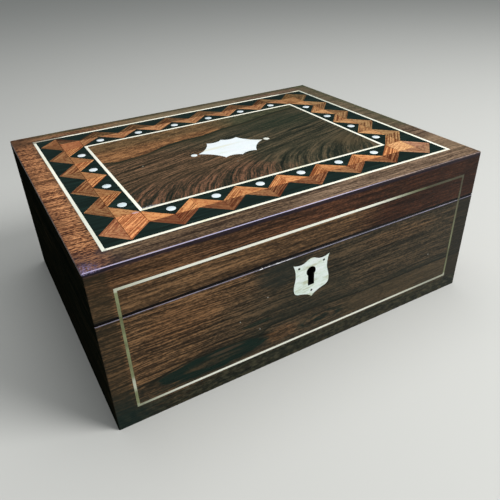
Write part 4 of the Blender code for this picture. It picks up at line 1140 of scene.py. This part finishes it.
def string_u(outer_z, seam_z, reach=0.0):
    """Half of the front string's outline: a U whose arms end at the seam, or reach past it."""
    up = 1 if seam_z > outer_z else -1
    outer_x = HALF_X - FRONT_STRING_SIDE
    inner_x = outer_x - FRONT_STRING_WIDTH
    inner_z, end_z = outer_z + up * FRONT_STRING_WIDTH, seam_z + up * reach
    left = [(-inner_x, inner_z), (-inner_x, end_z), (-outer_x, end_z), (-outer_x, outer_z)]
    outline = [Vector(point) for point in left] + [Vector((-x, z)) for x, z in reversed(left)]
    return outline if up > 0 else list(reversed(outline))


def string_groove(outer_z, seam_z):
    """Cutter for the groove of half of the front string."""
    outline = drawn_in(string_u(outer_z, seam_z, 0.001), -GLUE_LINE)
    return stand(plate([outline], -STRING_DEPTH - HOUSING_LINE, PAST), (0.0, FRONT_Y, 0.0))


def hinge_cutters(low, high):
    """Housings for the hinge leaves and room for their barrels."""
    cutters = []
    for centre_x in HINGE_PLACES:
        left, right = centre_x - HINGE_HALF - HOUSING_LINE, centre_x + HINGE_HALF + HOUSING_LINE
        cutters.append(block((left, HALF_Y - LEAF_REACH, low), (right, HALF_Y + PAST, high)))
        cutters.append(rod(BARREL_ROOM, left, right, HINGE_Y, HINGE_Z))
    return cutters


def make_case():
    """The four walls of the base as one veneered case, cut for its string, shield, lock and hinges."""
    bm = ring(WALL, 0.0, BASE_TOP)
    round_arrises(bm, WALL, 0.0, BASE_TOP)
    names = [f"base_{side}_board" for side in ("front", "back", "left", "right")]
    case = piece("case_walls", bm, [FRONT_WOOD], "base", names)
    shield = drawn_in(escutcheon_outline(), -SHIELD_LINE)
    cutters = [
        string_groove(FRONT_STRING_LOW, BASE_TOP),
        stand(plate([shield], -SHIELD_DEPTH - HOUSING_LINE, PAST), CROWN),
        stand(plate([keyhole_outline()], -WALL - PAST, PAST), CROWN),
    ]
    for half, drop in ((LOCK_HALF, LOCK_DROP), (LOCK_PLATE_HALF, LOCK_PLATE_DROP)):
        cutters.append(block((LOCK_X - half, FRONT_INNER_Y - LOCK_INTO_WALL, BASE_TOP - drop),
                             (LOCK_X + half, FRONT_INNER_Y + PAST, BASE_TOP + PAST)))
    carve(case, cutters + hinge_cutters(BASE_TOP - LEAF_DROP, BASE_TOP + PAST))
    even_shading(case)
    set_wall_finishes(case)


def make_lid_sides():
    """The lid's four sides as one veneered frame."""
    bm = ring(WALL, LID_LOW, VENEER_LOW)
    arrises = [edge for edge in bm.edges
               if all(abs(v.co.x) > HALF_X - 0.001 and abs(v.co.y) > HALF_Y - 0.001 for v in edge.verts)
               and abs(edge.verts[0].co.z - edge.verts[1].co.z) > 0.001]
    soften(bm, arrises, ARRIS_RADIUS, ARRIS_SEGMENTS)
    bm.normal_update()
    lower = [edge for edge in bm.edges if all(abs(v.co.z - LID_LOW) < 1e-6 for v in edge.verts)
             and any(abs(face.normal.z) < 0.5 and face.calc_center_median().xy.dot(face.normal.xy) > 0
                     for face in edge.link_faces)]
    soften(bm, lower, 0.0005, 2)
    names = [f"lid_{side}_rail" for side in ("front", "back", "left", "right")]
    sides = piece("lid_sides", bm, [FRONT_WOOD], "lid", names)
    low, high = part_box("lock_link_plate")
    gap = Vector((HOUSING_LINE, HOUSING_LINE, 0.0))
    link_housing = block((*(low - gap).xy, LID_LOW - 0.001),
                         (high.x + HOUSING_LINE, high.y + PAST, high.z + HOUSING_LINE))
    cutters = [string_groove(FRONT_STRING_HIGH, LID_LOW), link_housing]
    carve(sides, cutters + hinge_cutters(LID_LOW - PAST, LID_LOW + LEAF_DROP))
    even_shading(sides)
    set_wall_finishes(sides)


def make_top_border():
    """The sheet of veneer round the marquetry, with its rounded outer arris."""
    bm = ring(OUTER_INSET - GLUE_LINE, VENEER_LOW, LID_TOP)
    round_arrises(bm, OUTER_INSET, VENEER_LOW, LID_TOP)
    border = piece("top_border", bm, [BORDER_WOOD], "lid", ["top_border_veneer"])
    even_shading(border)


# Strings


def make_top_strings():
    """The two strings of the top, each of four strips mitred at the corners."""
    for name, node, inset in (("outer_string_strips", "outer_string", OUTER_INSET),
                              ("inner_string_strips", "inner_string", INNER_INSET)):
        outer, inner = rectangle(inset), rectangle(inset + STRING_WIDTH)
        strips = []
        for index in range(4):
            after = (index + 1) % 4
            strip = [outer[index], outer[after], inner[after], inner[index]]
            strips.append(tile(drawn_in(strip, [0.0, 0.00004, 0.0, 0.00004]), VENEER_LOW, LID_TOP))
        bm = join(strips)
        soften(bm, rim_edges(bm, LID_TOP), 0.00008, 2)
        string = piece(name, bm, [TOP_METAL_LONG, TOP_METAL_CROSS], "lid", [node], smooth=60)
        for face in string.data.polygons:
            centre = face.center
            cross = HALF_X - abs(centre.x) < HALF_Y - abs(centre.y)
            face.material_index = 1 if cross else 0


def make_front_strings():
    """The front string, in the base and in the lid."""
    for name, node, outer_z, seam_z, body in (
        ("front_string_lower", "base_front_string", FRONT_STRING_LOW, BASE_TOP, "base"),
        ("front_string_upper", "lid_front_string", FRONT_STRING_HIGH, LID_LOW, "lid"),
    ):
        bm = plate([string_u(outer_z, seam_z)], -STRING_DEPTH, 0.0)
        stand(bm, (0.0, FRONT_Y, 0.0))
        piece(name, bm, [FRONT_METAL], body, [node])


# Marquetry band


class Side:
    """One side of the band, measured along and out from its first corner on the inner string."""

    def __init__(self, name, corner, along, half_length, teeth):
        self.name, self.teeth = name, teeth
        self.corner, self.along, self.out = Vector(corner), Vector(along), Vector((along[1], -along[0]))
        self.pitch = 2 * half_length / teeth

    def spot(self, along, out):
        return self.corner + self.along * along + self.out * out

    def root(self, number):
        """Inner point of the zigzag at one of its valleys, nearer the string at the corners."""
        out = EBONY_LINE if 0 < number < self.teeth else EBONY_LINE / 2
        return self.spot(number * self.pitch, out)


INNER_X, INNER_Y = HALF_X - INNER_INSET, HALF_Y - INNER_INSET
BAND_SIDES = [
    Side("front", (-INNER_X, -INNER_Y), (1, 0), INNER_X, FRONT_TEETH),
    Side("right", (INNER_X, -INNER_Y), (0, 1), INNER_Y, SIDE_TEETH),
    Side("back", (INNER_X, INNER_Y), (-1, 0), INNER_X, FRONT_TEETH),
    Side("left", (-INNER_X, INNER_Y), (0, -1), INNER_Y, SIDE_TEETH),
]


# Tones of the outer and the inner row of light tiles on each side
TILE_TONES = {
    "front": (tone(142, 94, 62), tone(212, 146, 92)),
    "right": (tone(158, 124, 84), tone(184, 138, 92)),
    "back": (tone(103, 76, 48), tone(178, 128, 87)),
    "left": (tone(146, 102, 67), tone(186, 130, 83)),
}

# How much lighter the tiles look whose grain rises to the right, for the outer and the inner row
SHEEN = {"front": (1.0, 1.0), "right": (1.0, 0.95), "back": (1.18, 1.0), "left": (1.20, 1.30)}


class Marquetry:
    """Collects flat tiles with their grain, tone and stripe."""

    def __init__(self):
        self.bm = bmesh.new()
        self.grain = self.bm.loops.layers.uv.new("grain")
        self.tone = self.bm.loops.layers.float_color.new("tile_tone")
        self.stripe = self.bm.faces.layers.float.new("tile_stripe")
        self.dice = random.Random(41)

    def add(self, points, joints, direction, colour, stripe):
        """Adds one tile; joints draws each edge in, and direction is the way of its grain."""
        if area(points) < 0:
            points = list(reversed(points))
            joints = list(reversed(joints[:-1])) + [joints[-1]]
        faces = add_solid(self.bm, drawn_in(points, joints), VENEER_LOW, LID_TOP)
        way = direction.normalized()
        across = Vector((-way.y, way.x))
        shift = Vector((self.dice.uniform(0, 5), self.dice.uniform(0, 5)))
        share = self.dice.uniform(0.84, 1.16)
        for face in faces:
            face[self.stripe] = stripe * self.dice.uniform(0.75, 1.0)
            for loop in face.loops:
                flat = loop.vert.co.xy
                loop[self.grain].uv = Vector((flat.dot(way), flat.dot(across))) + shift
                loop[self.tone] = (colour[0] * share, colour[1] * share, colour[2] * share, 1.0)


def area(points):
    """Twice the signed area of an outline."""
    return sum(points[i - 1].cross(points[i]) for i in range(len(points)))


def add_corner_tiles(work):
    """Light tiles of the four corners, each a mirror image of its neighbours."""
    nib = EBONY_LINE / 2
    for side_x, side_y, inside, outside, wing, sheen in (
        (-1, -1, None, tone(238, 164, 108), tone(184, 124, 86), 1.06),
        (1, -1, tone(246, 190, 132), tone(172, 130, 98), tone(162, 120, 94), 1.42),
        (1, 1, tone(152, 112, 72), tone(110, 84, 50), tone(106, 86, 56), 1.15),
        (-1, 1, tone(178, 114, 75), tone(96, 66, 46), tone(140, 94, 60), 0.90),
    ):
        def spot(out_x, out_y):
            return Vector((side_x * (INNER_X + out_x), side_y * (INNER_Y + out_y)))

        root, elbow = spot(BAND_MIDDLE, 0.0), spot(BAND_MIDDLE, BAND_MIDDLE)
        peak, foot = spot(BAND_MIDDLE, POINT_OUT), spot(0.0, BAND_MIDDLE)
        if inside is None:
            work.add([root, spot(nib, nib), foot, peak], [TILE_LINE, TILE_LINE, 0.0, BAND_LINE],
                     foot - peak, outside, 0.9)
        else:
            work.add([root, spot(nib, nib), foot, elbow], [TILE_LINE, TILE_LINE, TILE_LINE, BAND_LINE],
                     foot - spot(POINT_OUT, 0.0), inside, 0.35)
            work.add([elbow, foot, peak], [TILE_LINE, 0.0, BAND_LINE], peak - foot, outside, 0.3)
        tip = spot(POINT_OUT, BAND_MIDDLE)
        near, far = ([channel * share for channel in wing] for share in (sheen, 1 / sheen))
        work.add([root, elbow, tip], [BAND_LINE, TILE_LINE, 0.0], root - tip, near, 0.8)
        work.add([elbow, peak, tip], [BAND_LINE, 0.0, TILE_LINE], peak - tip, far, 0.15)


def add_half(work, seam, points, colour, sheen):
    """Right-angled half of a light triangle: its foot on the mid-line, its square corner, its apex."""
    direction = points[2] - points[0]
    striped = direction.x * direction.y > 0
    shown = [channel * (sheen if striped else 1 / sheen) for channel in colour]
    work.add(points, [seam, TILE_LINE, 0.0], direction, shown, 1.0 if striped else 0.12)


def make_light_tiles():
    """Every light triangle of the zigzag in two halves, and the four corner tiles."""
    work = Marquetry()
    for side in BAND_SIDES:
        outer_tone, inner_tone = TILE_TONES[side.name]
        outer_sheen, inner_sheen = SHEEN[side.name]
        seam = BAND_LINE if side.name in ("left", "right") else TILE_LINE
        for number in range(side.teeth):
            middle = (number + 0.5) * side.pitch
            square, peak = side.spot(middle, BAND_MIDDLE), side.spot(middle, POINT_OUT)
            ends = [(side.spot(valley * side.pitch, BAND_MIDDLE), side.root(valley))
                    for valley in (number, number + 1)]
            for end, root in ends:
                add_half(work, seam, [end, square, peak], outer_tone, outer_sheen)
            for end, root in ends:
                add_half(work, seam, [square, end, root], inner_tone, inner_sheen)
    add_corner_tiles(work)
    piece("zigzag_tiles", work.bm, [TILE_WOOD], "lid", ["zigzag_band"])


def ebony_tile(points, holes=()):
    """One ebony tile, bored where it holds a dot."""
    if area(points) < 0:
        points = list(reversed(points))
    return plate([drawn_in(points, 0.00002), *holes], VENEER_LOW, LID_TOP)


def make_ebony_tiles():
    """The ebony triangles outside and inside the zigzag, the inner ones bored for the pearl dots."""
    outer, inner, dots = [], [], {}
    rim = BAND_WIDTH - GLUE_LINE
    for side in BAND_SIDES:
        pitch, spot = side.pitch, side.spot
        for number in range(side.teeth + 1):
            valley = number * pitch
            left = valley - (pitch / 2 if number else BAND_MIDDLE)
            right = valley + (pitch / 2 if number < side.teeth else BAND_MIDDLE)
            outer.append(ebony_tile([spot(valley, BAND_MIDDLE), spot(left, POINT_OUT), spot(left, rim),
                                     spot(right, rim), spot(right, POINT_OUT)]))
        outer.append(ebony_tile([spot(-BAND_MIDDLE, POINT_OUT), spot(-BAND_MIDDLE, rim), spot(-rim, rim),
                                 spot(-rim, BAND_MIDDLE), spot(-POINT_OUT, BAND_MIDDLE)]))
        dots[side.name] = []
        for number in range(side.teeth):
            stray_along, stray_out = DOT_STRAY.get(f"{side.name}_{number + 1}", (0.0, 0.0))
            middle = (number + 0.5) * pitch
            centre = spot(middle + DOT_SLIP[side.name] + stray_along, DOT_SEAT + stray_out)
            dots[side.name].append(centre)
            inner.append(ebony_tile(
                [spot(number * pitch, GLUE_LINE), side.root(number), spot(middle, BAND_MIDDLE),
                 side.root(number + 1), spot((number + 1) * pitch, GLUE_LINE)],
                [circle(DOT_RADIUS + DOT_LINE, 48, centre)]))
    piece("outer_ebony_tiles", join(outer), [EBONY], "lid", ["outer_ebony_band"])
    piece("inner_ebony_tiles", join(inner), [EBONY], "lid", ["inner_ebony_band"])
    return dots


def disc(radius, centre, low, high, segments=48):
    """A round disc with a softened upper edge."""
    bm = tile(circle(radius, segments, centre), low, high)
    soften(bm, rim_edges(bm, high), 0.00012, 2)
    return bm


def make_dots(dots):
    """The pearl dots of each side of the band."""
    for side, centres in dots.items():
        bm = join([disc(DOT_RADIUS, centre, VENEER_LOW, LID_TOP) for centre in centres])
        names = [f"pearl_dot_{side}_{number + 1}" for number in range(len(centres))]
        piece(f"pearl_dots_{side}", bm, [DOT_PEARL], "lid", names, smooth=50)


def make_centre():
    """The figured panel with the pearl cartouche and its end dots let in."""
    outline = [point + middle_of("cartouche") for point in cartouche_outline()]
    names = ["cartouche_dot_left", "cartouche_dot_right"]
    dots = [middle_of(name) for name in names]
    holes = [drawn_in(outline, -GLUE_LINE)] + [circle(END_DOT_RADIUS + GLUE_LINE, 40, dot) for dot in dots]
    panel = plate([rectangle(INNER_INSET + STRING_WIDTH + GLUE_LINE)] + holes, VENEER_LOW, LID_TOP)
    piece("figured_panel", panel, [PANEL_WOOD], "lid", ["centre_panel"])
    shell = tile(outline, VENEER_LOW, LID_TOP)
    soften(shell, rim_edges(shell, LID_TOP), 0.00008, 1)
    piece("pearl_cartouche", shell, [CARTOUCHE_PEARL], "lid", ["cartouche"])
    ends = join([disc(END_DOT_RADIUS, dot, VENEER_LOW, LID_TOP, 40) for dot in dots])
    piece("cartouche_end_dots", ends, [CARTOUCHE_PEARL], "lid", names, smooth=50)


# Front fittings


def make_shield():
    """The pearl escutcheon, softened at its rim and keyhole, and its three pins."""
    pins = leaned([Vector((-0.0102, -0.0052)), Vector((0.0102, -0.0052)), Vector((0.0, -0.0268))])
    holes = [keyhole_outline()] + [circle(0.0009, 20, pin) for pin in pins]
    bm = plate([escutcheon_outline()] + holes, -SHIELD_DEPTH, 0.0)
    stand(bm, CROWN)
    shield = piece("pearl_shield", bm, [SHIELD_PEARL, HOLE_SHADE], "base", ["escutcheon"])
    for face in shield.data.polygons:
        middle = face.center - CROWN
        near_pin = any((Vector((middle.x, middle.z)) - pin).length < 0.0010 for pin in pins)
        # Walls of the keyhole and pin holes take painted shade.
        if abs(face.normal.y) < 0.5 and (at_keyhole(face.center) or near_pin):
            face.material_index = 1
    heads = [stand(disc(0.0007, pin, -0.0026, -0.0003, 16), CROWN) for pin in pins]
    names = [f"escutcheon_pin_{place}" for place in ("left", "right", "lower")]
    piece("shield_pins", join(heads), [STEEL], "base", names, smooth=50)


def screw_head(bm, centre_x, centre_y, surface_z, up, turn):
    """Adds a slotted screw head, 0.1 mm proud: two half discs with the floor of the slot, painted dark as
    shade, between.
    """
    radius, half_slot, height = 0.0016, 0.00024, 0.0001
    reach = math.acos(half_slot / radius)
    place = Matrix.Rotation(turn, 2)

    def add(points, share, finish):
        outline = [place @ Vector(point) + Vector((centre_x, centre_y)) for point in points]
        low, high = sorted((surface_z, surface_z + up * height * share))
        for face in add_solid(bm, outline, low, high):
            face.material_index = finish

    for way in (radius, -radius):
        turns = [-reach + 2 * reach * step / 16 for step in range(17)]
        add([(way * math.cos(angle), way * math.sin(angle)) for angle in turns], 1.0, 0)
    half_long = math.sqrt(radius * radius - half_slot * half_slot)
    add([(-half_slot, -half_long), (half_slot, -half_long), (half_slot, half_long),
         (-half_slot, half_long)], 0.2, 1)


def make_screws():
    """Screw heads of the hinges, the lock and the link plate, which show when the lid is open."""
    lock_y = FRONT_INNER_Y - 0.0031
    for body, surface_z, up in (("base", BASE_TOP, 1), ("lid", LID_LOW, -1)):
        hinges, lock = bmesh.new(), bmesh.new()
        for number, centre_x in enumerate(HINGE_PLACES):
            for step in (-1, 0, 1):
                screw_head(hinges, centre_x + step * 0.0125, HALF_Y - 0.0052, surface_z, up,
                           turn=0.5 + step * 0.9 + number * 1.7 + up * 0.4)
        for side in (-1, 1):
            screw_head(lock, LOCK_X + side * 0.0228, lock_y, surface_z, up,
                       turn=1.1 - side * 0.5 + up * 0.3)
        piece(f"hinge_screws_{body}", hinges, [STEEL, HOLE_SHADE], body)
        piece(f"lock_screws_{body}", lock, [STEEL, HOLE_SHADE], body)


def dress_solids():
    """Finishes for the solids that show as they are."""
    parts = "base_leaf", "lid_leaf", "pin"
    hinges = [f"hinge_{side}_{part}" for side in ("left", "right") for part in parts]
    for finish, names in ((BOARD_WOOD, ["bottom_board", "lid_top_board"]),
                          (BRASS, ["box_lock", "lock_link_plate"] + hinges)):
        for name in names:
            set_finishes(nodes[name], [finish])


# Stage


def make_stage():
    """Pale floor, soft lights and the camera."""
    bm = bmesh.new()
    bmesh.ops.create_grid(bm, x_segments=1, y_segments=1, size=6.0)
    floor = new_object("floor", bm)
    material, web, shader = start("floor_grey", specular=0.2, roughness=0.8)
    shader.inputs["Base Color"].default_value = tone(196, 196, 192)
    set_finishes(floor, [material])

    for name, place, size, power in (
        ("key_light", (0.85, -0.90, 1.15), 0.9, 27.0),
        ("top_light", (0.10, 0.15, 1.40), 1.1, 7.0),
    ):
        lamp = bpy.data.lights.new(name, "AREA")
        lamp.shape, lamp.size, lamp.energy = "DISK", size, power
        holder = bpy.data.objects.new(name, lamp)
        holder.location = place
        holder.rotation_euler = (Vector((0, 0, 0.06)) - Vector(place)).to_track_quat("-Z", "Y").to_euler()
        bpy.context.scene.collection.objects.link(holder)

    world = bpy.data.worlds.new("soft_room")
    world.use_nodes = True
    web = Web(world.node_tree)
    split = web.node("ShaderNodeSeparateXYZ")
    web.tree.links.new(web.node("ShaderNodeTexCoord").outputs["Generated"], split.inputs[0])
    height = Field(web, split.outputs[2])
    sky = world.node_tree.nodes["Background"]
    sky.inputs["Color"].default_value = tone(222, 228, 230)
    web.feed(sky.inputs["Strength"], web.rise(height, 0.35, 0.95) * 0.55 + 0.06)
    bpy.context.scene.world = world

    camera = bpy.data.cameras.new("camera")
    camera.lens, camera.sensor_width = 37.42, 36.0
    camera.clip_start, camera.clip_end = 0.01, 50.0
    holder = bpy.data.objects.new("camera", camera)
    right, up = Vector((0.866285, -0.498645, -0.030047)), Vector((0.287903, 0.449203, 0.845771))
    back = right.cross(up)
    turn = Matrix((right, up, back)).transposed().to_4x4()
    holder.matrix_world = Matrix.Translation((-0.179888, -0.351304, 0.270690)) @ turn
    bpy.context.scene.collection.objects.link(holder)
    bpy.context.scene.camera = holder
    bpy.context.scene.view_settings.view_transform = "Standard"


make_case()
make_lid_sides()
make_top_border()
make_top_strings()
make_front_strings()
make_light_tiles()
make_dots(make_ebony_tiles())
make_centre()
make_shield()
make_screws()
dress_solids()
make_stage()
